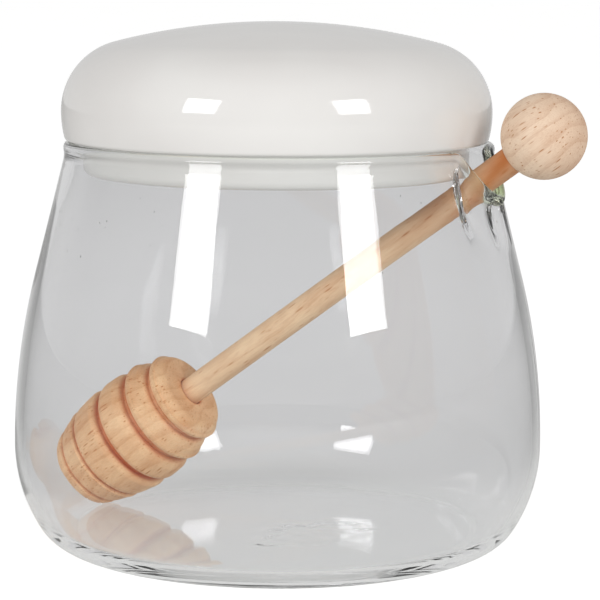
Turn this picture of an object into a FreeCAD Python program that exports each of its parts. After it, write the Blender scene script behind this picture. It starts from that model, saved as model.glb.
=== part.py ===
import FreeCAD, Part
# A blown glass honey jar with a ceramic lid and a wooden honey dipper.
#
# Sizes are in millimetres and angles in degrees. Z points up. The jar stands on z = 0 and its
# axis is the Z axis. The front is towards -Y. The rim has one notch with a flared glass lip,
# and the dipper's handle lies in it.
import math
import os
import Sketcher
from FreeCAD import Placement, Rotation, Vector

# A size that starts with an equals sign follows the sizes it names.
SIZES = {
    # jar
    "jar_radius": 62.4,        # outside, at the belly
    "belly_height": 24.0,      # where the jar is widest
    "foot_inset": 14.0,        # from the belly in to the foot
    "foot_radius": "=jar_radius - foot_inset",  # outer edge of the ring that the jar stands on
    "foot_width": 2.4,
    "push_up": 1.4,            # rise of the base at the middle
    "heel_radius": 10.0,
    "shoulder_radius": 160.0,  # slow inward curve above the belly
    "wall": 2.2,
    "floor_thickness": 3.0,    # at the edge of the inside floor
    "floor_inset": 0.4,        # from the foot's outer edge in to the inside floor's edge
    "floor_radius": "=foot_radius - floor_inset",
    "inner_heel_radius": 9.3,
    "rim_inset": 11.9,         # from the belly in to the rim
    "rim_radius": "=jar_radius - rim_inset",  # outside of the rim's bead
    "rim_height": 93.5,        # centre of the bead
    "rim_bead": 1.35,          # radius of the bead's section
    "neck_drop": 2.6,          # from the bead's centre down to where the neck begins
    "neck_radius": 3.0,
    # notch in the rim, with its flared lip
    "notch_angle": -24.5,      # about the jar's axis, from +X
    "notch_side_gap": 1.05,    # beside the handle, up to each lip
    "notch_width": "=2 * (dowel_radius + notch_side_gap)",
    "notch_spare": 5.5,        # height of the notch beyond the handle's thickness
    "notch_depth": "=2 * dowel_radius + notch_spare",  # from the bead's centre to the lip's
    "notch_corner": 4.0,       # turn from the rim down into the notch
    "lip_run_out": 1.6,        # how far the lip runs on along the rim
    "lip_half_thickness": 1.25,
    "lip_reach": 7.2,          # how far the lip runs outward at the bottom of the notch
    "lip_inward": 0.7,         # how far the lip's root stands inside the wall
    "lip_droop": 17.0,
    # lid
    "lid_inset": 0.1,          # from the rim's bead in to the lid's widest place
    "lid_radius": "=rim_radius - lid_inset",
    "lid_height": 27.7,        # from the underside to the top of the crown
    "lid_shoulder_radius": 14.0,
    "lid_shoulder_level": 8.738,  # from the underside up to the lid's widest place
    "crown_drop": "=lid_height - lid_shoulder_level",
    # the crown meets the shoulder smoothly, and that sets its radius
    "crown_radius": "=((lid_radius - lid_shoulder_radius)^2 + crown_drop^2 - lid_shoulder_radius^2)"
                    " / (2 * (crown_drop - lid_shoulder_radius))",
    "lid_side_radius": 24.0,
    "lid_edge_radius": 1.2,
    "lid_wall": 4.5,
    "plug_clearance": 2.6,     # from the inside of the rim's bead to the plug
    "plug_wall": 3.6,
    "plug_depth": 7.8,
    "plug_fillet": 1.0,
    "lid_offset": -0.6,        # the lid sits a little to the left in its play
    # dipper
    "dowel_radius": 3.25,
    "handle_outside": 9.8,     # from the lip to the knob, along the handle
    "knob_radius": 9.75,
    "socket_depth": 11.0,      # of the handle's ends in the head and the knob
    "glue_gap": 0.1,
    "handle_chamfer": 0.6,
    "head_length": 38.6,
    "head_radius": 13.8,
    "head_middle": "=head_length * 0.51",  # from the tip to where the head is widest
    "head_tip_radius": 9.4,    # at the tip, before it is rounded
    "barrel_sag": "=head_radius - head_tip_radius",
    # the head's outline is one arc from its widest place to the tip
    "barrel_radius": "=(head_middle^2 + barrel_sag^2) / (2 * barrel_sag)",
    "tip_fillet": 3.0,
    "face_fillet": 1.2,
    "groove_fillet": 0.7,
    # seats
    "seat_gap": 0.25,          # left between pieces that rest on each other
    "head_wall_gap": 1.0,      # from the head's tip to the inside of the belly
    "cut_clearance": 2.0,      # how far a cutter stands out past what it cuts
}

# Each groove of the head: its place as a share of the head's length, its width and its depth.
# The two near the tip are thin.
GROOVES = [(0.09, 0.55, 1.4), (0.25, 0.6, 1.8), (0.467, 1.2, 4.4), (0.685, 1.3, 4.4), (0.868, 1.1, 3.4)]
for number, (share, width, depth) in enumerate(GROOVES, 1):
    SIZES[f"groove_{number}_height"] = f"=head_length * {share}"
    SIZES[f"groove_{number}_width"] = width
    SIZES[f"groove_{number}_depth"] = depth

X_AXIS, Y_AXIS = -1, -2      # a sketch's own axes in its constraints
START, END, CENTRE = 1, 2, 3  # the points of an edge in its constraints

doc = FreeCAD.newDocument("honey_jar")
sheet = doc.addObject("Spreadsheet::Sheet", "sizes")
for row, alias in enumerate(SIZES, 1):
    sheet.set(f"A{row}", alias)
    sheet.setAlias(f"B{row}", alias)
for row, value in enumerate(SIZES.values(), 1):
    sheet.set(f"B{row}", str(value))
doc.recompute()


def size(alias):
    """The value of a named size, as the sheet holds it."""
    return float(sheet.get(alias))


def make_body(name):
    """An empty body."""
    return doc.addObject("PartDesign::Body", name)


def origin_plane(body, role):
    """One of a body's own origin planes."""
    return next(plane for plane in body.Origin.OriginFeatures if plane.Role == role)


def make_sketch(body, name, role="XZ_Plane"):
    """An empty sketch on one of the body's origin planes."""
    sketch = body.newObject("Sketcher::SketchObject", name)
    sketch.AttachmentSupport = [(origin_plane(body, role), "")]
    sketch.MapMode = "FlatFace"
    return sketch


def add_line(sketch, start, end):
    """A straight edge. Returns its number and which of its points lie at start and end."""
    edge = Part.LineSegment(Vector(*start, 0), Vector(*end, 0))
    return sketch.addGeometry(edge, False), START, END


def add_arc(sketch, start, end, centre, turn):
    """An arc from start to end, anticlockwise where turn is 1 and clockwise where it is -1."""
    first, last = (start, end) if turn > 0 else (end, start)
    angles = [math.atan2(point[1] - centre[1], point[0] - centre[0]) for point in (first, last)]
    if angles[1] < angles[0]:
        angles[1] += 2 * math.pi
    circle = Part.Circle(Vector(*centre, 0), Vector(0, 0, 1), math.dist(first, centre))
    number = sketch.addGeometry(Part.ArcOfCircle(circle, *angles), False)
    return (number, START, END) if turn > 0 else (number, END, START)


def join(sketch, before, after, smooth=True):
    """Join the end of one edge to the start of the next, tangent where it is smooth."""
    kind = "Tangent" if smooth else "Coincident"
    sketch.addConstraint(Sketcher.Constraint(kind, before[0], before[2], after[0], after[1]))


def set_size(sketch, name, kind, place, expression):
    """Add a dimension and bind it to the sheet. place is an edge, or an edge and its point."""
    if kind in ("DistanceX", "DistanceY"):
        point = sketch.getPoint(*place)
        value = point.x if kind == "DistanceX" else point.y
        constraint = Sketcher.Constraint(kind, X_AXIS, 1, *place, value)
    else:
        constraint = Sketcher.Constraint(kind, place, sketch.Geometry[place].Radius)
    index = sketch.addConstraint(constraint)
    sketch.renameConstraint(index, name)
    sketch.setExpression(f"Constraints.{name}", expression)


def on_axis(sketch, edge, point, axis=Y_AXIS):
    """Hold a point of an edge on one of the sketch's axes."""
    sketch.addConstraint(Sketcher.Constraint("PointOnObject", edge, point, axis))


def revolve(body, sketch, name):
    """Turn a closed outline once round the sketch's vertical axis."""
    turned = body.newObject("PartDesign::Revolution", name)
    turned.Profile = sketch
    turned.ReferenceAxis = (sketch, ["V_Axis"])
    turned.Angle = 360
    return turned


def make_jar_blank():
    """The jar as blown, with an even rim: foot, heel, belly, wall, neck and rolled bead.

    The edges are first drawn roughly where they belong. The sizes and the joins then make the
    outline exact, so the rough numbers don't show in the shape.
    """
    body = make_body("jar_blank")
    sketch = make_sketch(body, "jar_outline")
    radius, belly = size("jar_radius"), size("belly_height")
    foot, heel = size("foot_radius"), size("heel_radius")
    wall, shoulder = size("wall"), size("shoulder_radius")
    floor, floor_radius = size("floor_thickness"), size("floor_radius")
    bead, rim_height = size("rim_bead"), size("rim_height")
    bead_centre = (size("rim_radius") - bead, rim_height)
    neck_foot = (bead_centre[0] + bead * 0.8, rim_height - size("neck_drop"))
    run, rise = bead_centre[0] - radius + shoulder, rim_height - belly
    rough_lean = math.atan2(rise, run) - math.acos(shoulder / math.hypot(run, rise))
    rough_heel, rough_inner_heel = 36, 30
    shoulder_centre = (radius - shoulder, belly)
    wall_start = (shoulder_centre[0] + shoulder * math.cos(rough_lean),
                  belly + shoulder * math.sin(rough_lean))
    neck_centre = (neck_foot[0] + size("neck_radius"), neck_foot[1] + 0.6)
    neck_top = (bead_centre[0] + bead * 0.8, rim_height - bead * 0.6)
    bead_inside = (bead_centre[0] - bead * 0.96, rim_height - bead * 0.2)
    inner = shoulder - wall
    inner_start = (shoulder_centre[0] + inner * math.cos(rough_lean),
                   belly + inner * math.sin(rough_lean))
    inner_heel = size("inner_heel_radius")
    heel_turn, inner_turn = (foot + heel * 0.6, heel * 0.2), (floor_radius + inner_heel * 0.7, floor + 2)
    push = size("push_up")
    under_centre = (0, push - foot * foot / (2 * push))
    floor_centre = (0, floor + push - floor_radius ** 2 / (2 * push))

    underside = add_arc(sketch, (0, push), (foot - size("foot_width"), 0), under_centre, -1)
    foot_ring = add_line(sketch, (foot - size("foot_width"), 0), (foot, 0))
    small_heel = add_arc(sketch, (foot, 0), heel_turn, (foot, heel), 1)
    large_heel = add_arc(sketch, heel_turn, (radius, belly), (radius - rough_heel, belly), 1)
    outer_shoulder = add_arc(sketch, (radius, belly), wall_start, shoulder_centre, 1)
    outer_wall = add_line(sketch, wall_start, neck_foot)
    neck = add_arc(sketch, neck_foot, neck_top, neck_centre, -1)
    rim = add_arc(sketch, neck_top, bead_inside, bead_centre, 1)
    inner_wall = add_line(sketch, bead_inside, inner_start)
    inner_shoulder = add_arc(sketch, inner_start, (radius - wall, belly), shoulder_centre, -1)
    inner_large = add_arc(sketch, (radius - wall, belly), inner_turn,
                          (radius - wall - rough_inner_heel, belly), -1)
    inner_small = add_arc(sketch, inner_turn, (floor_radius, floor),
                          (floor_radius, floor + inner_heel), -1)
    inside_floor = add_arc(sketch, (floor_radius, floor), (0, floor + push), floor_centre, 1)
    middle = add_line(sketch, (0, floor + push), (0, push))

    on_axis(sketch, underside[0], underside[1])
    on_axis(sketch, underside[0], CENTRE)
    on_axis(sketch, inside_floor[0], inside_floor[2])
    on_axis(sketch, inside_floor[0], CENTRE)
    on_axis(sketch, foot_ring[0], START, X_AXIS)
    on_axis(sketch, foot_ring[0], END, X_AXIS)
    sketch.addConstraint(Sketcher.Constraint("Coincident", outer_shoulder[0], CENTRE,
                                             inner_shoulder[0], CENTRE))
    for name, kind, place, expression in (
            ("push_up", "DistanceY", (underside[0], underside[1]), "sizes.push_up"),
            ("foot_inside", "DistanceX", (foot_ring[0], START), "sizes.foot_radius - sizes.foot_width"),
            ("foot_outside", "DistanceX", (foot_ring[0], END), "sizes.foot_radius"),
            ("heel", "Radius", small_heel[0], "sizes.heel_radius"),
            ("belly_radius", "DistanceX", (outer_shoulder[0], outer_shoulder[1]), "sizes.jar_radius"),
            ("belly_height", "DistanceY", (outer_shoulder[0], outer_shoulder[1]), "sizes.belly_height"),
            ("belly_level", "DistanceY", (outer_shoulder[0], CENTRE), "sizes.belly_height"),
            ("shoulder", "Radius", outer_shoulder[0], "sizes.shoulder_radius"),
            ("neck_level", "DistanceY", (outer_wall[0], END), "sizes.rim_height - sizes.neck_drop"),
            ("neck", "Radius", neck[0], "sizes.neck_radius"),
            ("bead", "Radius", rim[0], "sizes.rim_bead"),
            ("bead_reach", "DistanceX", (rim[0], CENTRE), "sizes.rim_radius - sizes.rim_bead"),
            ("bead_level", "DistanceY", (rim[0], CENTRE), "sizes.rim_height"),
            ("inner_shoulder", "Radius", inner_shoulder[0], "sizes.shoulder_radius - sizes.wall"),
            ("inner_level", "DistanceY", (inner_large[0], inner_large[1]), "sizes.belly_height"),
            ("inner_heel", "Radius", inner_small[0], "sizes.inner_heel_radius"),
            ("floor_reach", "DistanceX", (inside_floor[0], inside_floor[1]), "sizes.floor_radius"),
            ("floor_level", "DistanceY", (inside_floor[0], inside_floor[1]), "sizes.floor_thickness"),
            ("floor_middle", "DistanceY", (inside_floor[0], inside_floor[2]),
             "sizes.floor_thickness + sizes.push_up")):
        set_size(sketch, name, kind, place, expression)

    join(sketch, underside, foot_ring, smooth=False)
    for before, after in ((foot_ring, small_heel), (small_heel, large_heel),
                          (large_heel, outer_shoulder), (outer_shoulder, outer_wall),
                          (outer_wall, neck), (neck, rim), (rim, inner_wall),
                          (inner_wall, inner_shoulder), (inner_shoulder, inner_large),
                          (inner_large, inner_small), (inner_small, inside_floor)):
        join(sketch, before, after)
    join(sketch, inside_floor, middle, smooth=False)
    join(sketch, middle, underside, smooth=False)
    revolve(body, sketch, "jar_turned")
    return body, sketch, outer_wall[0]


def cut_notch(body):
    """Cut the U-shaped notch down through one side of the rim."""
    half = size("notch_width") / 2 + size("lip_half_thickness")
    corner, top = size("notch_corner"), size("rim_height")
    low = top - size("notch_depth")
    above = top + 2 * size("rim_bead")
    sketch = body.newObject("Sketcher::SketchObject", "notch_outline")
    sketch.AttachmentSupport = [(origin_plane(body, "YZ_Plane"), "")]
    sketch.MapMode = "FlatFace"
    sketch.AttachmentOffset = Placement(Vector(0, 0, 0), Rotation(Vector(0, 1, 0), size("notch_angle")))
    left_lip = add_arc(sketch, (-half - corner, top), (-half, top - corner),
                       (-half - corner, top - corner), -1)
    left_side = add_line(sketch, (-half, top - corner), (-half, low + half))
    bottom = add_arc(sketch, (-half, low + half), (half, low + half), (0, low + half), 1)
    right_side = add_line(sketch, (half, low + half), (half, top - corner))
    right_lip = add_arc(sketch, (half, top - corner), (half + corner, top),
                        (half + corner, top - corner), -1)
    right_end = add_line(sketch, (half + corner, top), (half + corner, above))
    lid_side = add_line(sketch, (half + corner, above), (-half - corner, above))
    left_end = add_line(sketch, (-half - corner, above), (-half - corner, top))

    half_width = "sizes.notch_width / 2 + sizes.lip_half_thickness"
    for name, kind, place, expression in (
            ("bottom", "Radius", bottom[0], half_width),
            ("bottom_level", "DistanceY", (bottom[0], CENTRE),
             f"sizes.rim_height - sizes.notch_depth + {half_width}"),
            ("left_corner", "Radius", left_lip[0], "sizes.notch_corner"),
            ("right_corner", "Radius", right_lip[0], "sizes.notch_corner"),
            ("left_level", "DistanceY", (left_lip[0], left_lip[1]), "sizes.rim_height"),
            ("right_level", "DistanceY", (right_lip[0], right_lip[2]), "sizes.rim_height"),
            ("open_top", "DistanceY", (lid_side[0], START), "sizes.rim_height + 2 * sizes.rim_bead")):
        set_size(sketch, name, kind, place, expression)
    on_axis(sketch, bottom[0], CENTRE)
    for edge in (left_side, right_side, left_end, right_end):
        sketch.addConstraint(Sketcher.Constraint("Vertical", edge[0]))
    sketch.addConstraint(Sketcher.Constraint("Horizontal", lid_side[0]))
    for before, after in ((left_lip, left_side), (left_side, bottom), (bottom, right_side),
                          (right_side, right_lip)):
        join(sketch, before, after)
    for before, after in ((right_lip, right_end), (right_end, lid_side), (lid_side, left_end),
                          (left_end, left_lip)):
        join(sketch, before, after, smooth=False)
    for lip, top_point in ((left_lip, left_lip[1]), (right_lip, right_lip[2])):
        sketch.addConstraint(Sketcher.Constraint("Vertical", lip[0], CENTRE, lip[0], top_point))

    notch = body.newObject("PartDesign::Pocket", "notch")
    notch.Profile = sketch
    notch.Type = 0
    notch.Length = 2 * size("jar_radius")
    notch.setExpression("Length", "2 * sizes.jar_radius")
    notch.Reversed = True
    return notch


def radial_frame():
    """Unit vectors of the notch: outward, sideways along the rim, and up."""
    turn = math.radians(size("notch_angle"))
    outward = Vector(math.cos(turn), math.sin(turn), 0)
    return outward, Vector(-math.sin(turn), math.cos(turn), 0), Vector(0, 0, 1)


def lip_path():
    """Stations along half of the notch's edge: sideways offset, height and the edge's turn.

    The turn is 0 at the bottom of the notch and 90 on its straight sides. It goes back to 0
    where the lip runs out into the rim's bead.
    """
    half = size("notch_width") / 2 + size("lip_half_thickness")
    corner, top = size("notch_corner"), size("rim_height")
    low = top - size("notch_depth")
    stations = []
    for degrees in range(0, 91, 15):
        turn = math.radians(degrees)
        stations.append((half * math.sin(turn), low + half * (1 - math.cos(turn)), turn))
    for degrees in range(90, -1, -30):
        turn = math.radians(degrees)
        stations.append((half + corner * (1 - math.sin(turn)), top - corner * (1 - math.cos(turn)), turn))
    stations.append((half + corner + size("lip_run_out"), top, 0))
    return stations


def lip_section(side, station, inside_radius):
    """One section of the lip: centre, long direction, path direction and half length.

    The section spans the wall and reaches outward, most of all at the bottom of the notch.
    """
    offset, height, turn = station
    outward, along, up = radial_frame()
    thin = size("lip_half_thickness")
    low = size("rim_height") - size("notch_depth")
    sunk = min(1, max(0, (size("rim_height") - height) / (size("rim_height") - low)))
    flare = math.sin(sunk * math.pi / 2) ** 2
    droop = math.radians(size("lip_droop")) * flare
    half_length = thin + (size("lip_reach") / 2 - thin) * flare
    bead_centre = size("rim_radius") - size("rim_bead")
    root = inside_radius(height) - size("lip_inward") + half_length * math.cos(droop)
    reach = bead_centre + (root - bead_centre) * flare
    glass_side = along * (side * math.sin(turn)) - up * math.cos(turn)
    long_way = outward * math.cos(droop) + glass_side * math.sin(droop)
    path_way = long_way.cross(glass_side * math.cos(droop) - outward * math.sin(droop))
    middle = outward * math.sqrt(reach ** 2 - offset ** 2) + along * (side * offset) + up * height
    return middle, long_way, path_way, half_length


def wall_inside(outline, wall_edge):
    """A function that gives the wall's inside radius at a height near the rim."""
    wall = outline.Geometry[wall_edge]
    start, end = wall.StartPoint, wall.EndPoint
    lean = (end.x - start.x) / (end.y - start.y)
    return lambda height: start.x + lean * (height - start.y) - size("wall")


def make_lip(inside_radius):
    """The flared lip: one lofted bead of glass that follows the notch's edge."""
    stations = lip_path()
    run = [(-1, station) for station in reversed(stations[1:])] + [(1, station) for station in stations]
    sections = []
    for number, (side, station) in enumerate(run, 1):
        middle, long_way, path_way, half_length = lip_section(side, station, inside_radius)
        section = doc.addObject("Part::Ellipse", f"lip_section_{number}")
        section.MajorRadius = half_length
        section.MinorRadius = size("lip_half_thickness")
        section.setExpression("MinorRadius", "sizes.lip_half_thickness")
        turn = Rotation(long_way, path_way.cross(long_way), path_way, "ZXY")
        section.Placement = Placement(middle, turn)
        sections.append(section)
    lip = doc.addObject("Part::Loft", "lip")
    lip.Sections = sections
    lip.Solid = True
    return lip


def make_jar():
    """The whole jar: the blown blank with its notch, and the lip."""
    body, outline, wall_edge = make_jar_blank()
    doc.recompute()
    cut_notch(body)
    inside_radius = wall_inside(outline, wall_edge)
    jar = doc.addObject("Part::Fuse", "glass_jar")
    jar.Base = body
    jar.Tool = make_lip(inside_radius)
    return jar, inside_radius


def make_lid():
    """The hollow ceramic lid: a cushion-shaped shell with a plug ring that drops inside the rim.

    Its outline too is drawn roughly first, and the sizes and joins make it exact.
    """
    body = make_body("lid")
    sketch = make_sketch(body, "lid_outline")
    rim_top = size("rim_height") + size("rim_bead")
    under = rim_top + size("seat_gap")
    top = under + size("lid_height")
    radius, shoulder = size("lid_radius"), size("lid_shoulder_radius")
    crown, side, edge = size("crown_radius"), size("lid_side_radius"), size("lid_edge_radius")
    wall, fillet = size("lid_wall"), size("plug_fillet")
    plug = size("rim_radius") - 2 * size("rim_bead") - size("plug_clearance")
    plug_inside = plug - size("plug_wall")
    plug_round = size("plug_wall") / 2
    plug_low = under - size("plug_depth")
    crown_centre = (0, top - crown)
    rise = math.sqrt((crown - shoulder) ** 2 - (radius - shoulder) ** 2)
    shoulder_centre = (radius - shoulder, crown_centre[1] + rise)
    lean = math.atan2(shoulder_centre[0], rise)
    crown_end = (crown * math.sin(lean), crown_centre[1] + crown * math.cos(lean))
    inner_end = ((crown - wall) * math.sin(lean), crown_centre[1] + (crown - wall) * math.cos(lean))
    edge_turn = (radius - edge, under + edge)
    edge_centre = (edge_turn[0] - edge, under + edge)
    cavity_low = (shoulder_centre[0] + (shoulder - wall) * 0.9,
                  shoulder_centre[1] - (shoulder - wall) * 0.43)

    outer_crown = add_arc(sketch, (0, top), crown_end, crown_centre, -1)
    outer_shoulder = add_arc(sketch, crown_end, (radius, shoulder_centre[1]), shoulder_centre, -1)
    outer_side = add_arc(sketch, (radius, shoulder_centre[1]), edge_turn,
                         (radius - side, shoulder_centre[1]), -1)
    lower_edge = add_arc(sketch, edge_turn, (edge_centre[0], under), edge_centre, -1)
    underside = add_line(sketch, (edge_centre[0], under), (plug + fillet, under))
    plug_root = add_arc(sketch, (plug + fillet, under), (plug, under - fillet),
                        (plug + fillet, under - fillet), 1)
    plug_outside = add_line(sketch, (plug, under - fillet), (plug, plug_low + plug_round))
    plug_end = add_arc(sketch, (plug, plug_low + plug_round), (plug_inside, plug_low + plug_round),
                       (plug - plug_round, plug_low + plug_round), -1)
    plug_bore = add_line(sketch, (plug_inside, plug_low + plug_round), (plug_inside, under))
    cavity_side = add_line(sketch, (plug_inside, under), cavity_low)
    inner_shoulder = add_arc(sketch, cavity_low, inner_end, shoulder_centre, 1)
    inner_crown = add_arc(sketch, inner_end, (0, top - wall), crown_centre, 1)
    middle = add_line(sketch, (0, top - wall), (0, top))

    plug_reach = "sizes.rim_radius - 2 * sizes.rim_bead - sizes.plug_clearance"
    under_level = "sizes.rim_height + sizes.rim_bead + sizes.seat_gap"
    for name, kind, place, expression in (
            ("top", "DistanceY", (outer_crown[0], outer_crown[1]), f"{under_level} + sizes.lid_height"),
            ("crown", "Radius", outer_crown[0], "sizes.crown_radius"),
            ("shoulder", "Radius", outer_shoulder[0], "sizes.lid_shoulder_radius"),
            ("reach", "DistanceX", (outer_side[0], outer_side[1]), "sizes.lid_radius"),
            ("side", "Radius", outer_side[0], "sizes.lid_side_radius"),
            ("lower_edge", "Radius", lower_edge[0], "sizes.lid_edge_radius"),
            ("underside", "DistanceY", (underside[0], END), under_level),
            ("plug_root", "Radius", plug_root[0], "sizes.plug_fillet"),
            ("plug_reach", "DistanceX", (plug_outside[0], START), plug_reach),
            ("plug_inside", "DistanceX", (plug_bore[0], START), f"{plug_reach} - sizes.plug_wall"),
            ("plug_low", "DistanceY", (plug_outside[0], END),
             f"{under_level} - sizes.plug_depth + sizes.plug_wall / 2"),
            ("plug_bore", "DistanceY", (plug_bore[0], END), under_level),
            ("inner_shoulder", "Radius", inner_shoulder[0], "sizes.lid_shoulder_radius - sizes.lid_wall"),
            ("inner_crown", "Radius", inner_crown[0], "sizes.crown_radius - sizes.lid_wall")):
        set_size(sketch, name, kind, place, expression)
    on_axis(sketch, outer_crown[0], outer_crown[1])
    on_axis(sketch, outer_crown[0], CENTRE)
    on_axis(sketch, inner_crown[0], inner_crown[2])
    for edge_number in (plug_outside[0], plug_bore[0]):
        sketch.addConstraint(Sketcher.Constraint("Vertical", edge_number))
    sketch.addConstraint(Sketcher.Constraint("Horizontal", underside[0]))
    for outer, inner in ((outer_crown, inner_crown), (outer_shoulder, inner_shoulder)):
        sketch.addConstraint(Sketcher.Constraint("Coincident", outer[0], CENTRE, inner[0], CENTRE))
    # the side's centre is level with its widest point
    sketch.addConstraint(Sketcher.Constraint("Horizontal", outer_side[0], CENTRE,
                                             outer_side[0], outer_side[1]))
    smooth_run = (outer_crown, outer_shoulder, outer_side, lower_edge, underside, plug_root,
                  plug_outside, plug_end, plug_bore)
    for before, after in zip(smooth_run, smooth_run[1:]):
        join(sketch, before, after)
    join(sketch, plug_bore, cavity_side, smooth=False)
    join(sketch, cavity_side, inner_shoulder)
    join(sketch, inner_shoulder, inner_crown, smooth=False)
    join(sketch, inner_crown, middle, smooth=False)
    join(sketch, middle, outer_crown, smooth=False)
    revolve(body, sketch, "lid_turned")
    body.Placement = Placement(Vector(size("lid_offset"), 0, 0), Rotation())
    body.setExpression("Placement.Base.x", "sizes.lid_offset")
    return body


def barrel_radius(height):
    """The head's outside radius at a height above its tip."""
    away = height - size("head_middle")
    return size("head_radius") - size("barrel_radius") + math.sqrt(size("barrel_radius") ** 2 - away ** 2)


def dipper_pose(inside_radius):
    """Where the dipper rests: its tilt, its tip's middle, and how far from the tip the lip lies.

    The head's tip lies on the inside floor with its upper edge near the far wall, and the
    handle rises across the lip's lowest point. Places are distances outward and heights in the
    notch's upright plane. The tilt is found by halving.
    """
    tip_round = size("tip_fillet")
    reach = barrel_radius(tip_round) - tip_round
    floor = size("floor_thickness") + size("seat_gap") + tip_round
    far_wall = size("jar_radius") - size("wall") - size("head_wall_gap") - tip_round
    lip_height = size("rim_height") - size("notch_depth")
    half_length = size("lip_reach") / 2
    droop = math.radians(size("lip_droop"))
    lip_out = inside_radius(lip_height) - size("lip_inward") + half_length * math.cos(droop)

    def tip_at(tilt):
        return -far_wall + reach * math.sin(tilt), floor + reach * math.cos(tilt)

    def spare_height(tilt):
        out, height = tip_at(tilt)
        lip = math.hypot(half_length * math.sin(tilt + droop),
                         size("lip_half_thickness") * math.cos(tilt + droop))
        needed = size("dowel_radius") + lip + size("seat_gap")
        return (lip_out - out) * math.sin(tilt) - (lip_height - height) * math.cos(tilt) - needed

    flat, steep = 0.0, math.radians(80)
    for _ in range(60):
        tilt = (flat + steep) / 2
        if spare_height(tilt) < 0:
            flat = tilt
        else:
            steep = tilt
    out, height = tip_at(tilt)
    tip = (out - tip_round * math.cos(tilt), height - tip_round * math.sin(tilt))
    to_lip = (lip_out - tip[0]) * math.cos(tilt) + (lip_height - tip[1]) * math.sin(tilt)
    return tilt, tip, to_lip


def lay_along(tilt, tip, distance):
    """The placement whose Z axis is the dipper's, at a distance from its tip."""
    outward, along, up = radial_frame()
    axis = outward * math.cos(tilt) + up * math.sin(tilt)
    middle = outward * tip[0] + up * tip[1] + axis * distance
    return Placement(middle, Rotation(axis.cross(along), along, axis, "ZYX"))


def round_edges(body, base, name, alias, wanted):
    """Fillet the level rings of a turned body whose radius and height are wanted."""
    edges = []
    for number, edge in enumerate(base.Shape.Edges, 1):
        point = edge.Vertexes[0].Point
        if edge.isClosed() and wanted(math.hypot(point.x, point.y), point.z):
            edges.append(f"Edge{number}")
    fillet = body.newObject("PartDesign::Fillet", name)
    fillet.Base = (base, edges)
    fillet.Radius = size(alias)
    fillet.setExpression("Radius", f"sizes.{alias}")
    doc.recompute()
    return fillet


def make_head():
    """The dipper's turned head: a barrel with grooves, drilled for the handle."""
    body = make_body("dipper_head")
    length = size("head_length")
    sketch = make_sketch(body, "head_outline")
    tip_end, face_end = (barrel_radius(0), 0), (barrel_radius(length), length)
    centre = (size("head_radius") - size("barrel_radius"), size("head_middle"))
    tip = add_line(sketch, (0, 0), tip_end)
    barrel = add_arc(sketch, tip_end, face_end, centre, 1)
    face = add_line(sketch, face_end, (0, length))
    middle = add_line(sketch, (0, length), (0, 0))
    for name, kind, place, expression in (
            ("barrel", "Radius", barrel[0], "sizes.barrel_radius"),
            ("barrel_reach", "DistanceX", (barrel[0], CENTRE), "sizes.head_radius - sizes.barrel_radius"),
            ("barrel_level", "DistanceY", (barrel[0], CENTRE), "sizes.head_middle"),
            ("face_level", "DistanceY", (middle[0], START), "sizes.head_length")):
        set_size(sketch, name, kind, place, expression)
    on_axis(sketch, middle[0], START)
    on_axis(sketch, middle[0], END)
    on_axis(sketch, middle[0], END, X_AXIS)
    for edge in (tip, face):
        sketch.addConstraint(Sketcher.Constraint("Horizontal", edge[0]))
    for before, after in ((tip, barrel), (barrel, face), (face, middle), (middle, tip)):
        join(sketch, before, after, smooth=False)
    revolve(body, sketch, "head_turned")
    for number in range(1, len(GROOVES) + 1):
        cut_groove(body, number)
    doc.recompute()

    outer = body.Tip
    groove_edges = round_edges(body, outer, "groove_rounding", "groove_fillet",
                               lambda radius, height: 0.01 < height < length - 0.01
                               and abs(radius - barrel_radius(height)) < 0.01)
    tip_edge = round_edges(body, groove_edges, "tip_rounding", "tip_fillet",
                           lambda radius, height: abs(height) < 0.01)
    round_edges(body, tip_edge, "face_rounding", "face_fillet",
                lambda radius, height: abs(height - length) < 0.01)
    drill_socket(body)
    return body


def cut_groove(body, number):
    """Turn one groove into the head."""
    sketch = make_sketch(body, f"groove_{number}_outline")
    height, width = size(f"groove_{number}_height"), size(f"groove_{number}_width")
    floor = barrel_radius(height) - size(f"groove_{number}_depth")
    clear = size("head_radius") + size("cut_clearance")
    corners = ((floor, height), (clear, height), (clear, height + width), (floor, height + width))
    sides = [add_line(sketch, start, end) for start, end in zip(corners, corners[1:] + corners[:1])]
    mark = f"sizes.groove_{number}"
    barrel = (f"sizes.head_radius - sizes.barrel_radius + sqrt(sizes.barrel_radius ^ 2"
              f" - ({mark}_height - sizes.head_middle) ^ 2)")
    for name, kind, place, expression in (
            ("floor", "DistanceX", (sides[0][0], START), f"{barrel} - {mark}_depth"),
            ("low", "DistanceY", (sides[0][0], START), f"{mark}_height"),
            ("clear", "DistanceX", (sides[0][0], END), "sizes.head_radius + sizes.cut_clearance"),
            ("high", "DistanceY", (sides[2][0], START), f"{mark}_height + {mark}_width")):
        set_size(sketch, name, kind, place, expression)
    for side, level in zip(sides, ("Horizontal", "Vertical", "Horizontal", "Vertical")):
        sketch.addConstraint(Sketcher.Constraint(level, side[0]))
    for before, after in zip(sides, sides[1:] + sides[:1]):
        join(sketch, before, after, smooth=False)
    groove = body.newObject("PartDesign::Groove", f"groove_{number}")
    groove.Profile = sketch
    groove.ReferenceAxis = (sketch, ["V_Axis"])
    groove.Angle = 360


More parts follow.
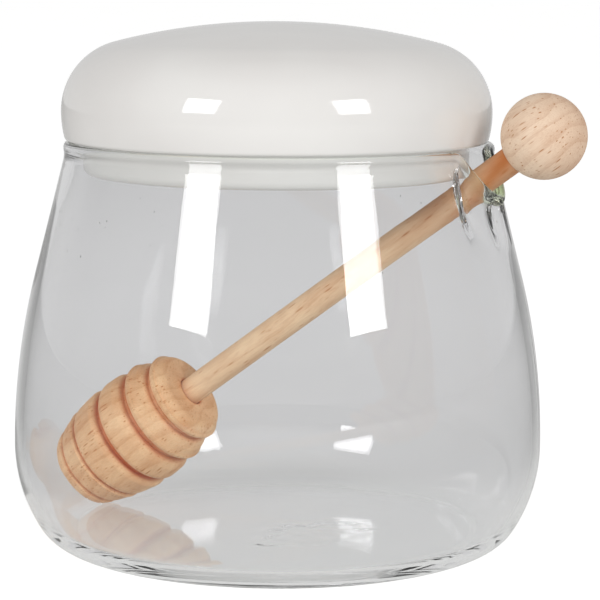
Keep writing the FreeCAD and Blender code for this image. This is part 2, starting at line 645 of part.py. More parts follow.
def drill_socket(body):
    """Drill the head's face for the handle."""
    sketch = make_sketch(body, "socket_outline", "XY_Plane")
    sketch.AttachmentOffset = Placement(Vector(0, 0, size("head_length")), Rotation())
    sketch.setExpression("AttachmentOffset.Base.z", "sizes.head_length")
    radius = size("dowel_radius") + size("glue_gap")
    circle = sketch.addGeometry(Part.Circle(Vector(), Vector(0, 0, 1), radius), False)
    sketch.addConstraint(Sketcher.Constraint("Coincident", circle, CENTRE, X_AXIS, 1))
    set_size(sketch, "bore", "Radius", circle, "sizes.dowel_radius + sizes.glue_gap")
    socket = body.newObject("PartDesign::Pocket", "socket")
    socket.Profile = sketch
    socket.Type = 0
    socket.Length = size("socket_depth") + size("glue_gap")
    socket.setExpression("Length", "sizes.socket_depth + sizes.glue_gap")


def make_handle(length):
    """The dipper's dowel, with small chamfers at its hidden ends."""
    body = make_body("dipper_handle")
    sketch = make_sketch(body, "dowel_outline", "XY_Plane")
    circle = sketch.addGeometry(Part.Circle(Vector(), Vector(0, 0, 1), size("dowel_radius")), False)
    sketch.addConstraint(Sketcher.Constraint("Coincident", circle, CENTRE, X_AXIS, 1))
    set_size(sketch, "dowel", "Radius", circle, "sizes.dowel_radius")
    dowel = body.newObject("PartDesign::Pad", "dowel")
    dowel.Profile = sketch
    dowel.Length = length
    doc.recompute()
    ends = [f"Edge{number}" for number, edge in enumerate(dowel.Shape.Edges, 1)
            if edge.Curve.TypeId == "Part::GeomCircle"]
    chamfer = body.newObject("PartDesign::Chamfer", "dowel_ends")
    chamfer.Base = (dowel, ends)
    chamfer.Size = size("handle_chamfer")
    chamfer.setExpression("Size", "sizes.handle_chamfer")
    return body


def make_knob():
    """The ball at the end of the handle, drilled for it. The bore opens towards -Z."""
    ball = doc.addObject("Part::Sphere", "ball")
    ball.setExpression("Radius", "sizes.knob_radius")
    bore = doc.addObject("Part::Cylinder", "knob_bore")
    bore.setExpression("Radius", "sizes.dowel_radius + sizes.glue_gap")
    bore.setExpression("Height", "sizes.socket_depth + sizes.glue_gap + sizes.cut_clearance")
    bore.setExpression("Placement.Base.z", "-sizes.knob_radius - sizes.cut_clearance")
    knob = doc.addObject("Part::Cut", "dipper_knob")
    knob.Base = ball
    knob.Tool = bore
    return knob


def make_dipper(inside_radius):
    """The dipper's three glued pieces, laid in the jar with the handle in the notch."""
    tilt, tip, to_lip = dipper_pose(inside_radius)
    knob_near = to_lip + size("handle_outside")
    handle_start = size("head_length") - size("socket_depth")
    head = make_head()
    handle = make_handle(knob_near + size("socket_depth") - handle_start)
    knob = make_knob()
    head.Placement = lay_along(tilt, tip, 0)
    handle.Placement = lay_along(tilt, tip, handle_start)
    knob.Placement = lay_along(tilt, tip, knob_near + size("knob_radius"))
    return [head, handle, knob]


def check_and_write(pieces):
    """Stop if anything failed, then write each piece to its own file."""
    doc.recompute()
    failed = [item.Name for item in doc.Objects if "Invalid" in item.State or "Error" in item.State]
    if failed:
        raise RuntimeError(f"these did not build: {failed}")
    os.makedirs("parts", exist_ok=True)
    for piece in pieces:
        shape = piece.Shape
        if shape.isNull() or not shape.isValid() or len(shape.Solids) != 1:
            raise RuntimeError(f"{piece.Label} is not one valid solid")
        shape.exportStep(f"parts/{piece.Label}.step")
        print(f"{piece.Label}: {shape.Volume / 1000:.2f} cubic centimetres")


jar, inside_radius = make_jar()
lid = make_lid()
dipper = make_dipper(inside_radius)
check_and_write([jar, lid, *dipper])
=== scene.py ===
# %% [markdown]
# A honey jar: a clear blown-glass body with a notch in its rim, a white glazed lid, and a
# turned beech dipper whose handle lies in the notch. The solid model is a fixed frame. It
# says where each piece is and how big it is, and this lesson gives each piece its real
# surface. We read positions from the frame and never move it.

# %% Load the frame
import math

import bpy
import numpy as np
from mathutils import Matrix, Quaternion, Vector


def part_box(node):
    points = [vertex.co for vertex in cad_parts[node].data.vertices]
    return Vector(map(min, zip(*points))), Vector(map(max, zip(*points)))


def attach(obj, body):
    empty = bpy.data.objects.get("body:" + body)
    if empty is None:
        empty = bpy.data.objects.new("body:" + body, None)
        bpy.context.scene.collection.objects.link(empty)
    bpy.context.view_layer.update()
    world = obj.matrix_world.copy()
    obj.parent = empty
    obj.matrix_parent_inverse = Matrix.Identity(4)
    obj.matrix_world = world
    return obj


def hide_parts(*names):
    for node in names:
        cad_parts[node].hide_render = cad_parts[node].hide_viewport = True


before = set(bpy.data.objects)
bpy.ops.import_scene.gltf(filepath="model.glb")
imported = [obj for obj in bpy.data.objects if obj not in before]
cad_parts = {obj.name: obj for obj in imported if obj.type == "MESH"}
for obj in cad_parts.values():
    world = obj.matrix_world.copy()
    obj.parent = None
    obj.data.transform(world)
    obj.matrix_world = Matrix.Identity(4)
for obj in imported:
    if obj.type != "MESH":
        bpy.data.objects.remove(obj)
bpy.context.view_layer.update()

MM = 0.001
print("frame nodes:", sorted(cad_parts))

# %% [markdown]
# Every place comes from the frame's boxes. The knob is a ball and the handle a plain dowel, so
# the middles of their boxes lie on the dipper's axis. From that line and the dowel's length we
# get the tip of the head, and the side of the jar that has the notch.

# %% Find the pieces
DOWEL_RADIUS = 3.25 * MM
DOWEL_CHAMFER = 0.6 * MM
HEAD_LENGTH = 38.6 * MM
SOCKET_DEPTH = 11 * MM
UP = Vector((0, 0, 1))


def middle_of(node):
    """The middle of a node's box."""
    low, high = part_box(node)
    return (Vector(low) + Vector(high)) / 2


knob_middle = middle_of("dipper_knob")
knob_low, knob_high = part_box("dipper_knob")
KNOB_RADIUS = (knob_high[2] - knob_low[2]) / 2
handle_middle = middle_of("dipper_handle")
handle_low, handle_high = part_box("dipper_handle")
dipper_axis = (knob_middle - handle_middle).normalized()
across = math.sqrt(1 - dipper_axis.z ** 2)
dowel_length = (handle_high[2] - handle_low[2] - 2 * DOWEL_RADIUS * across) / dipper_axis.z
dowel_length += 2 * DOWEL_CHAMFER
dowel_start = handle_middle - dipper_axis * dowel_length / 2
head_tip = dowel_start - dipper_axis * (HEAD_LENGTH - SOCKET_DEPTH)
notch_turn = math.atan2(dipper_axis.y, dipper_axis.x)
print(f"dowel {dowel_length / MM:.1f} mm, notch at {math.degrees(notch_turn):.1f} degrees")

# %% [markdown]
# The camera looks slightly down at the front of the jar with a long lens, so the jar's upright
# sides stay nearly parallel. We make it early, because each later step is judged through it.

# %% Camera
CAMERA_PLACE = Vector((0, -0.580, 0.1392))
CAMERA_AIM = Vector((0.0051, 0.0016, 0.0570))
CAMERA_ROLL = 0.006
CAMERA_LENS, SENSOR_WIDTH = 148.4, 36


def add_object(name, data):
    """A new object in the scene."""
    thing = bpy.data.objects.new(name, data)
    bpy.context.collection.objects.link(thing)
    return thing


def aim(thing, place, target, roll=0.0):
    """Put a camera or a lamp at a place, and turn it to face a target."""
    thing.location = place
    thing.rotation_mode = "QUATERNION"
    turn = (target - place).to_track_quat("-Z", "Y")
    thing.rotation_quaternion = turn @ Quaternion((0, 0, 1), roll)


camera = add_object("camera", bpy.data.cameras.new("camera"))
camera.data.lens = CAMERA_LENS
camera.data.sensor_width = SENSOR_WIDTH
aim(camera, CAMERA_PLACE, CAMERA_AIM, CAMERA_ROLL)
bpy.context.scene.camera = camera
print("camera ready")

# %% [markdown]
# Light can turn many times inside a thick glass heel or a folded lip before it comes out. With
# few bounces those places would stay black, so we let a ray of light go on for longer.

# %% Light paths
GLASS_BOUNCES, GLOSS_BOUNCES = 40, 24

paths = bpy.context.scene.cycles
paths.max_bounces = paths.transmission_bounces = GLASS_BOUNCES
paths.glossy_bounces = GLOSS_BOUNCES
print("light paths follow up to", paths.max_bounces, "bounces")

# %% [markdown]
# The view transform stays Standard, so a colour comes out about as we write it. Colours are
# written as the eye reads them, from 0 to 255, and this helper turns them into the linear
# values that the shaders work with.

# %% Colour helper
bpy.context.scene.view_settings.view_transform = "Standard"


def tone(red, green, blue):
    """A linear colour with full alpha, from three display values."""
    display = (value / 255 for value in (red, green, blue))
    linear = [v / 12.92 if v <= 0.04045 else ((v + 0.055) / 1.055) ** 2.4 for v in display]
    return (*linear, 1)


# %% [markdown]
# Shader trees are built with small helpers. They set a value in a socket, or join an output to
# it, by the socket's name. A few more make the nodes that most materials need.

# %% Node helpers
def feed(tree, value, socket):
    """Put a value in an input socket, or join an output socket to it."""
    if isinstance(value, bpy.types.NodeSocket):
        tree.links.new(value, socket)
    elif value is not None:
        socket.default_value = value


def fill(tree, node, values):
    """Feed a node's inputs, by their names or their numbers."""
    for name, value in values.items():
        feed(tree, value, node.inputs[name])


def add_node(tree, kind, values=None, **settings):
    """A new node with its settings, and with its inputs fed."""
    node = tree.nodes.new(kind)
    for name, value in settings.items():
        setattr(node, name, value)
    fill(tree, node, values or {})
    return node


def calculate(tree, operation, first, second=None, third=None, clamp=False):
    """A Math node's output."""
    return add_node(tree, "ShaderNodeMath", {0: first, 1: second, 2: third},
                    operation=operation, use_clamp=clamp).outputs[0]


def blend_colours(tree, share, first, second):
    """A Mix node's colour."""
    return add_node(tree, "ShaderNodeMix", {0: share, 6: first, 7: second},
                    data_type="RGBA").outputs[2]


def stretch(tree, vector, scale):
    """A vector with each of its parts multiplied."""
    return add_node(tree, "ShaderNodeVectorMath", {0: vector, 1: scale},
                    operation="MULTIPLY").outputs[0]


def parts_of(tree, vector):
    """The parts of a vector, named X, Y and Z."""
    return add_node(tree, "ShaderNodeSeparateXYZ", {0: vector}).outputs


def noise(tree, vector, scale, detail=2.0, roughness=0.5):
    """A noise texture's value, between 0 and 1."""
    values = {"Vector": vector, "Scale": scale, "Detail": detail, "Roughness": roughness}
    return add_node(tree, "ShaderNodeTexNoise", values).outputs["Fac"]


def between(tree, value, low, high, out_low=0.0, out_high=1.0):
    """A value moved smoothly from one range to another, and held inside it."""
    values = {"Value": value, "From Min": low, "From Max": high, "To Min": out_low,
              "To Max": out_high}
    return add_node(tree, "ShaderNodeMapRange", values,
                    interpolation_type="SMOOTHSTEP").outputs[0]


def bump(tree, shader, height, strength, distance):
    """Tilt a shader's surface by a height."""
    values = {"Height": height, "Strength": strength, "Distance": distance}
    feed(tree, add_node(tree, "ShaderNodeBump", values).outputs[0], shader.inputs["Normal"])


def new_material(name):
    """A material with nodes, its tree, its shader and the object's own coordinates."""
    material = bpy.data.materials.new(name)
    material.use_nodes = True
    tree = material.node_tree
    place = add_node(tree, "ShaderNodeTexCoord").outputs["Object"]
    return material, tree, tree.nodes["Principled BSDF"], place


def new_group(name, kind, inputs, outputs):
    """A node group with named sockets, what it is given and where its result goes."""
    tree = bpy.data.node_groups.new(name, kind)
    for side, sockets in (("INPUT", inputs), ("OUTPUT", outputs)):
        for socket, form in sockets.items():
            tree.interface.new_socket(socket, in_out=side, socket_type=f"NodeSocket{form}")
    return tree, add_node(tree, "NodeGroupInput").outputs, add_node(tree, "NodeGroupOutput")


print("node helpers ready")

# %% [markdown]
# The backdrop of a product picture is a pale sweep. Ours is white wherever the camera looks at
# it, and a light grey where it is seen through glass or in a gloss, because clear glass needs
# something a little darker behind it for its edges to show. Light Path tells the two kinds of
# ray apart. The floor also takes real light, so it keeps the jar's shadow. Seen through glass
# it is darker at the sides, which draws the grey edges of the jar, and darker close behind the
# jar, where it is a painted shade of the jar.

# %% Floor
SEEN_WHITE = 1.0
FLOOR_HALF = 6.0
FLOOR_SEEN, FLOOR_THROUGH, FLOOR_LIGHT = 0.72, 0.31, 0.20
WHITE = (1, 1, 1, 1)


def ray_strength(tree, seen, through):
    """How bright a backdrop is: one value for the camera, one for glass and gloss, else 0."""
    path = add_node(tree, "ShaderNodeLightPath").outputs
    bent = calculate(tree, "MAXIMUM", path["Is Transmission Ray"], path["Is Glossy Ray"])
    other = calculate(tree, "SUBTRACT", 1.0, path["Is Camera Ray"])
    bent = calculate(tree, "MULTIPLY", calculate(tree, "MULTIPLY", bent, other), through)
    return calculate(tree, "MULTIPLY_ADD", path["Is Camera Ray"], seen, bent), path


def floor_through(tree, place):
    """The floor's brightness through glass: less at the sides, and less close behind the jar, a
    painted shade.
    """
    parts = parts_of(tree, place)
    back = calculate(tree, "ADD", calculate(tree, "ABSOLUTE", parts["Y"]), 0.35)
    sideways = calculate(tree, "DIVIDE", calculate(tree, "ABSOLUTE", parts["X"]), back)
    # the dimming close behind the jar is a painted shade; the sideways dimming draws the glass
    # edges
    shade = calculate(tree, "MULTIPLY", between(tree, sideways, 0.18, 0.36, 1.0, 0.08),
                      between(tree, parts["Y"], 0.10, 0.45, 0.82, 1.0))
    return calculate(tree, "MULTIPLY", shade, FLOOR_THROUGH)


def make_floor():
    """A wide pale floor that keeps shadows and reads white in the view."""
    mesh = bpy.data.meshes.new("floor")
    corners = [(x * FLOOR_HALF, y * FLOOR_HALF, 0) for x, y in ((-1, -1), (1, -1), (1, 1), (-1, 1))]
    mesh.from_pydata(corners, [], [(0, 1, 2, 3)])
    material, tree, shader, place = new_material("pale_floor")
    strength, path = ray_strength(tree, FLOOR_SEEN, floor_through(tree, place))
    lit = calculate(tree, "MULTIPLY", path["Is Diffuse Ray"], FLOOR_LIGHT)
    fill(tree, shader, {
        "Roughness": 0.9, "Specular IOR Level": 0.1, "Emission Color": WHITE,
        "Emission Strength": calculate(tree, "ADD", strength, lit),
        "Base Color": blend_colours(tree, noise(tree, place, 9.0, detail=3.0),
                                    tone(208, 208, 207), tone(214, 214, 213))})
    mesh.materials.append(material)
    return add_object("floor", mesh)


floor = make_floor()
print("floor ready")

# %% [markdown]
# Two tall soft boxes stand in front of the jar, one on each side. They make the pairs of bright
# windows on the glass and the lid. The world is a grey room, brighter behind the jar and dimmer
# at the sides and behind the camera, which draws the dark line along the edges of clear glass.

# %% Lights and world
BOX_TURN = math.radians(41)
BOX_DISTANCE = 1.5
BOX_WIDTH, BOX_HEIGHT = 0.50, 0.56
BOX_LEVEL = 0.71
BOX_POWER = 7.5
JAR_MIDDLE = Vector((0, 0, 0.07))

for name, side in (("left_box", -1), ("right_box", 1)):
    lamp = bpy.data.lights.new(name, "AREA")
    lamp.shape = "RECTANGLE"
    lamp.size, lamp.size_y = BOX_WIDTH, BOX_HEIGHT
    lamp.energy = BOX_POWER
    place = Vector((side * math.sin(BOX_TURN), -math.cos(BOX_TURN), 0)) * BOX_DISTANCE
    place.z = BOX_LEVEL
    aim(add_object(name, lamp), place, JAR_MIDDLE)

world = bpy.data.worlds.new("grey_room")
bpy.context.scene.world = world
world.use_nodes = True
room = world.node_tree
direction = parts_of(room, add_node(room, "ShaderNodeTexCoord").outputs["Generated"])
behind_jar = between(room, direction["Y"], 0.15, 0.92, 0.34, 0.66)
overhead = between(room, direction["Z"], 0.80, 0.97, 1.0, 0.25)
strength, path = ray_strength(room, SEEN_WHITE, calculate(room, "MULTIPLY", behind_jar, overhead))
level = between(room, direction["Z"], 0.15, 0.85, 0.69, 0.31)
lit = calculate(room, "MULTIPLY", path["Is Diffuse Ray"], level)
fill(room, room.nodes["Background"],
     {"Color": WHITE, "Strength": calculate(room, "ADD", strength, lit)})
print("lights and world ready")

# %% [markdown]
# The lid, the head, the handle and the knob are all turned or thrown, so one rule makes them:
# an outline is swept once round an axis. Geometry Nodes does that here. A grid has one column
# for each step round the axis and one row for each point of the outline. Each grid point takes
# its radius and height from the outline, and merging by distance closes the seam and the poles.

# %% The lathe tree
def end_tree(tree, geometry, given, output):
    """End a tree in geometry of its own, with its material."""
    real = add_node(tree, "GeometryNodeRealizeInstances", {"Geometry": geometry})
    finish = add_node(tree, "GeometryNodeSetMaterial",
                      {"Geometry": real.outputs[0], "Material": given["Finish"]})
    feed(tree, finish.outputs[0], output.inputs["Geometry"])
    return tree


def make_lathe_tree():
    """A tree that turns an outline, given as an object's points, once round the Z axis."""
    tree, given, output = new_group(
        "lathe", "GeometryNodeTree",
        {"Outline": "Object", "Segments": "Int", "Finish": "Material"}, {"Geometry": "Geometry"})
    outline = add_node(tree, "GeometryNodeObjectInfo", {"Object": given["Outline"]},
                       transform_space="ORIGINAL").outputs["Geometry"]
    rows = add_node(tree, "GeometryNodeAttributeDomainSize", {"Geometry": outline},
                    component="MESH").outputs["Point Count"]
    columns = calculate(tree, "ADD", given["Segments"], 1)
    grid = add_node(tree, "GeometryNodeMeshGrid", {"Vertices X": columns, "Vertices Y": rows})
    index = add_node(tree, "GeometryNodeInputIndex").outputs[0]
    column = calculate(tree, "FLOOR", calculate(tree, "DIVIDE", index, rows))
    sample = add_node(tree, "GeometryNodeSampleIndex", {
        "Geometry": outline, "Index": calculate(tree, "MODULO", index, rows),
        "Value": add_node(tree, "GeometryNodeInputPosition").outputs[0]},
        data_type="FLOAT_VECTOR", domain="POINT")
    point = parts_of(tree, sample.outputs["Value"])
    share = calculate(tree, "DIVIDE", column, given["Segments"])
    turn = calculate(tree, "MULTIPLY", share, 2 * math.pi)
    east, north = (calculate(tree, "MULTIPLY", calculate(tree, wave, turn), point["X"])
                   for wave in ("COSINE", "SINE"))
    place = add_node(tree, "ShaderNodeCombineXYZ", {"X": east, "Y": north, "Z": point["Z"]})
    move = add_node(tree, "GeometryNodeSetPosition",
                    {"Geometry": grid.outputs["Mesh"], "Position": place.outputs[0]})
    merge = add_node(tree, "GeometryNodeMergeByDistance",
                     {"Geometry": move.outputs[0], "Distance": 0.002 * MM})
    return end_tree(tree, merge.outputs[0], given, output)


lathe_tree = make_lathe_tree()
print("lathe tree has", len(lathe_tree.nodes), "nodes")

# %% [markdown]
# A modifier's inputs are set by the identifiers of its sockets before the object is first
# evaluated. The result is then copied to a plain mesh, its faces are turned outwards, and the
# modifier goes. Only then is the mesh moved to its place, with its object left at the origin.

# %% Use the tree
def run_tree(thing, tree, values, name):
    """Run a tree on an object, keep its result as a mesh, and take the object away."""
    modifier = thing.modifiers.new(name, "NODES")
    modifier.node_group = tree
    for item in tree.interface.items_tree:
        if item.item_type == "SOCKET" and item.in_out == "INPUT" and item.name in values:
            modifier[item.identifier] = values[item.name]
    graph = bpy.context.evaluated_depsgraph_get()
    mesh = bpy.data.meshes.new_from_object(thing.evaluated_get(graph), depsgraph=graph)
    mesh.name = name
    bpy.data.objects.remove(thing)
    return mesh


def point_object(name, places):
    """An object that is nothing but points."""
    points = bpy.data.meshes.new(name)
    points.from_pydata(places, [], [])
    return add_object(name, points)


def signed_volume(mesh):
    """The volume inside a closed mesh: negative if its faces point inwards."""
    mesh.calc_loop_triangles()
    points = np.array([vertex.co[:] for vertex in mesh.vertices])
    corners = points[np.array([triangle.vertices[:] for triangle in mesh.loop_triangles])]
    crossed = np.cross(corners[:, 1], corners[:, 2])
    return float(np.einsum("ij,ij->i", corners[:, 0], crossed).sum()) / 6


def face_outwards(mesh):
    """Turn a closed mesh's faces outwards."""
    if signed_volume(mesh) < 0:
        mesh.flip_normals()


def describe(piece):
    """Print a piece's size."""
    volume = signed_volume(piece.data) * 1e6
    print(f"{piece.name}: {len(piece.data.vertices)} points, {volume:.1f} cubic centimetres")


def turn_outline(name, outline, material, segments, place):
    """Turn an outline of (radius, height) points into a piece, and put it in its place."""
    holder = point_object(f"{name}_outline", [(radius, 0, height) for radius, height in outline])
    mesh = run_tree(point_object(f"{name}_blank", []), lathe_tree,
                    {"Outline": holder, "Segments": segments, "Finish": material}, name)
    bpy.data.objects.remove(holder)
    face_outwards(mesh)
    mesh.transform(place)
    mesh.shade_smooth()
    piece = add_object(name, mesh)
    describe(piece)
    return piece


def arc(centre, radius, start, end, steps):
    """Points along an arc, from one angle to another in degrees."""
    turns = np.radians(np.linspace(start, end, steps + 1))
    return [(centre[0] + radius * math.cos(t), centre[1] + radius * math.sin(t)) for t in turns]


def tidy_outline(points):
    """An outline without points that repeat, and with no radius below 0."""
    kept = []
    for radius, height in points:
        point = (max(radius, 0.0), height)
        if not kept or math.dist(kept[-1], point) > 0.005 * MM:
            kept.append(point)
    return kept


def along_dipper(start):
    """The matrix that takes the Z axis to the dipper's axis, starting at a point."""
    side = UP.cross(dipper_axis).normalized()
    turn = Matrix((dipper_axis.cross(side) * -1, side, dipper_axis)).transposed()
    return Matrix.Translation(start) @ turn.to_4x4()


print("turning helpers ready")

# %% [markdown]
# Beech is pale pinkish brown. Its growth rings are faint, and what marks it out is a scatter of
# short dark dashes along the grain. The grain runs along the dipper. This group makes rings
# round a heart line that lies outside the piece, then dashes, fine fibres and slow blotches.
# It puts out a colour, a roughness and a height, and each wood gives it its own values.

# %% Wood grain group
HEART = (23.0, 7.0)
RING_PERIOD, RING_DRIFT = 3.4, 2.2
SURFACE = {"Color": "Color", "Roughness": "Float", "Height": "Float"}


def make_wood_group():
    """The grain of beech on coordinates whose Z axis is the grain. It works in millimetres."""
    tree, given, output = new_group(
        "wood_grain", "ShaderNodeTree",
        {"Vector": "Vector", "Pale": "Color", "Dark": "Color", "Rings": "Float",
         "Flecks": "Float", "Blotches": "Float"}, SURFACE)
    in_mm = stretch(tree, given["Vector"], (1000, 1000, 1000))
    slow = noise(tree, stretch(tree, in_mm, (0.11, 0.11, 0.035)), 1.0)
    blotch = noise(tree, stretch(tree, in_mm, (0.16, 0.16, 0.09)), 1.0, detail=3.0)
    fibre = noise(tree, stretch(tree, in_mm, (5.0, 5.0, 0.30)), 1.0, detail=3.0, roughness=0.6)
    place = parts_of(tree, in_mm)
    east, north = (calculate(tree, "ADD", place[axis], away) for axis, away in zip("XY", HEART))
    reach = calculate(tree, "SQRT", calculate(tree, "ADD", calculate(tree, "MULTIPLY", east, east),
                                              calculate(tree, "MULTIPLY", north, north)))
    phase = calculate(tree, "MULTIPLY_ADD", slow, RING_DRIFT,
                      calculate(tree, "DIVIDE", reach, RING_PERIOD))
    wave = calculate(tree, "FRACT", phase)
    ring = calculate(tree, "MULTIPLY", between(tree, wave, 0.45, 0.95),
                     between(tree, wave, 1.0, 0.95))
    dashes = []
    for size, shift in (((1.1, 1.1, 0.15), 0.0), ((1.6, 1.6, 0.26), 7.3)):
        moved = add_node(tree, "ShaderNodeVectorMath", {
            0: stretch(tree, in_mm, size), 1: (shift, shift * 2, shift * 3)}, operation="ADD")
        cells = add_node(tree, "ShaderNodeTexVoronoi",
                         {"Vector": moved.outputs[0], "Scale": 1.0}).outputs
        chosen = parts_of(tree, cells["Color"])["X"]
        dashes.append(calculate(tree, "MULTIPLY", between(tree, cells["Distance"], 0.27, 0.10),
                                between(tree, chosen, 0.25, 0.95)))
    fleck = calculate(tree, "MAXIMUM", *dashes)
    shade = calculate(tree, "MULTIPLY", ring, given["Rings"])
    shade = calculate(tree, "MULTIPLY_ADD", fleck, given["Flecks"], shade)
    shade = calculate(tree, "MULTIPLY_ADD",
                      between(tree, blotch, 0.3, 0.7), given["Blotches"], shade)
    shade = calculate(tree, "MULTIPLY_ADD",
                      between(tree, fibre, 0.35, 0.75), 0.22, shade, clamp=True)
    height = calculate(tree, "MULTIPLY_ADD", fleck, -0.6, calculate(tree, "MULTIPLY", fibre, 0.5))
    fill(tree, output, {
        "Color": blend_colours(tree, shade, given["Pale"], given["Dark"]),
        "Roughness": between(tree, fibre, 0.2, 0.8, 0.50, 0.66),
        "Height": height})
    return tree


wood_group = make_wood_group()
print("wood group has", len(wood_group.nodes), "nodes")

# %% [markdown]
# The three woods share the group. A Mapping node turns the object's coordinates, so that the
# grain follows the leaning dipper. The stain near the knob, and the burnt colour of the grooves
# with a painted shade deeper in them, are painted on the points as an attribute for stain and
# shade, which mixes in a darker, redder brown.

# %% Wood materials
def make_wood(name, start, stain_and_shade, values):
    """A beech material whose grain runs along the dipper from a point."""
    material, tree, shader, place = new_material(name)
    mapping = add_node(tree, "ShaderNodeMapping", {
        "Vector": place, "Location": start, "Rotation": along_dipper(start).to_euler()},
        vector_type="TEXTURE")
    grain = add_node(tree, "ShaderNodeGroup", {"Vector": mapping.outputs[0], **values},
                     node_tree=wood_group).outputs
    # this attribute holds real stain, and in the head's grooves also painted shade
    painted = add_node(tree, "ShaderNodeAttribute", attribute_name="stain_and_shade").outputs["Fac"]
    fill(tree, shader, {
        "Base Color": blend_colours(tree, painted, grain["Color"], stain_and_shade),
        "Roughness": grain["Roughness"], "Specular IOR Level": 0.35})
    bump(tree, shader, grain["Height"], 0.35, 0.05 * MM)
    return material


# in the head's grooves this colour is partly a burnt stain and partly a painted shade of their
# depths
head_wood = make_wood("turned_beech", head_tip, tone(206, 94, 16), {
    "Pale": tone(255, 211, 164), "Dark": tone(206, 126, 66),
    "Rings": 0.18, "Flecks": 0.85, "Blotches": 0.32})
handle_wood = make_wood("stained_beech", dowel_start, tone(190, 112, 52), {
    "Pale": tone(255, 222, 184), "Dark": tone(200, 134, 86),
    "Rings": 0.16, "Flecks": 0.70, "Blotches": 0.26})
knob_wood = make_wood("pale_beech", knob_middle, tone(200, 142, 98), {
    "Pale": tone(246, 220, 194), "Dark": tone(190, 134, 92),
    "Rings": 0.20, "Flecks": 0.85, "Blotches": 0.20})
print("three woods ready")

# %% [markdown]
# The head is a barrel with grooves that hold the honey. Between the grooves stand thick discs
# with softly rounded edges, and near the tip the grooves are only fine lines. The outline goes
# up the barrel and dips into each groove, then crosses the flat top face with its bevel.

# %% Dipper head
HEAD_RADIUS = 13.8 * MM
HEAD_MIDDLE = HEAD_LENGTH * 0.51
HEAD_TIP_RADIUS = 9.4 * MM
BARREL_SAG = HEAD_RADIUS - HEAD_TIP_RADIUS
BARREL_RADIUS = (HEAD_MIDDLE ** 2 + BARREL_SAG ** 2) / (2 * BARREL_SAG)
GLUE_GAP = 0.1 * MM
SOCKET_RADIUS = DOWEL_RADIUS + GLUE_GAP
SOCKET_BEVEL = 0.25 * MM
# each groove: its place as a share of the length, its width, its depth and its edges' rounding
GROOVES = ((0.09, 0.55, 0.9, 0.8), (0.25, 0.6, 1.1, 0.9), (0.467, 0.9, 2.0, 2.0),
           (0.685, 0.9, 2.0, 2.2), (0.868, 0.8, 1.8, 1.9))


def barrel(height):
    """The head's radius at a height above its tip."""
    away = height - HEAD_MIDDLE
    return HEAD_RADIUS - BARREL_RADIUS + math.sqrt(BARREL_RADIUS ** 2 - away ** 2)


def head_outline():
    """The head's outline from the middle of its tip to the bottom of its socket."""
    tip_round, bevel = 3 * MM, 2.2 * MM
    points = [(radius, 0.0) for radius in np.linspace(0, barrel(tip_round) - tip_round, 12)]
    points += arc((barrel(tip_round) - tip_round, tip_round), tip_round, -90, 0, 10)
    height = tip_round
    for share, width, depth, soft in GROOVES:
        low = share * HEAD_LENGTH
        high, deep, soft = low + width * MM, depth * MM, soft * MM
        points += [(barrel(h), h) for h in np.linspace(height, low - soft, 14)[1:]]
        points += arc((barrel(low) - soft, low - soft), soft, 0, 90, 7)[1:]
        floor_radius = barrel(low) - deep
        points += [(barrel(low) - soft - (deep - soft) * part, low) for part in (0.3, 0.7)]
        points += [(floor_radius, low + 0.05 * MM), (floor_radius, high - 0.05 * MM)]
        points += [(barrel(high) - soft - (deep - soft) * part, high) for part in (0.7, 0.3)]
        points += arc((barrel(high) - soft, high + soft), soft, -90, 0, 7)
        height = high + soft
    points += [(barrel(h), h) for h in np.linspace(height, HEAD_LENGTH - bevel, 8)[1:]]
    points += arc((barrel(HEAD_LENGTH - bevel) - bevel, HEAD_LENGTH - bevel), bevel, 0, 90, 8)[1:]
    face_inner, socket_end = SOCKET_RADIUS + SOCKET_BEVEL, HEAD_LENGTH - SOCKET_DEPTH - GLUE_GAP
    points += [(radius, HEAD_LENGTH) for radius in np.linspace(points[-1][0], face_inner, 14)]
    points += [(SOCKET_RADIUS, HEAD_LENGTH - SOCKET_BEVEL), (SOCKET_RADIUS, socket_end)]
    points += [(0, socket_end)]
    return tidy_outline(points)


head = turn_outline("turned_head", head_outline(), head_wood, 160, along_dipper(head_tip))

# %% [markdown]
# The grooves of the real head are darker than its discs, from the tool's heat and from honey,
# and their depths also get a painted shade.
# A small helper paints an attribute on a piece's points from a rule in the piece's own frame.

# %% Paint the stain and the groove shade
def paint_stain_and_shade(piece, start, rule):
    """Store a value of stain and painted shade on each point. The rule takes its radius and height
    on the axis.
    """
    to_axis = np.array(along_dipper(start).inverted())
    points = np.ones((len(piece.data.vertices), 4))
    points[:, :3] = [vertex.co[:] for vertex in piece.data.vertices]
    local = points @ to_axis.T
    values = rule(np.hypot(local[:, 0], local[:, 1]), local[:, 2], local)
    attribute = piece.data.attributes.new("stain_and_shade", "FLOAT", "POINT")
    attribute.data.foreach_set("value", np.clip(values, 0, 1).astype(np.float32))


# how strong the stain and the painted shade are in each groove, by its place as a share of the
# length
GROOVE_STAIN_AND_SHADE = (0.1, 0.26, 0.48, 0.70, 0.88), (0.7, 0.9, 1.0, 0.75, 0.55)


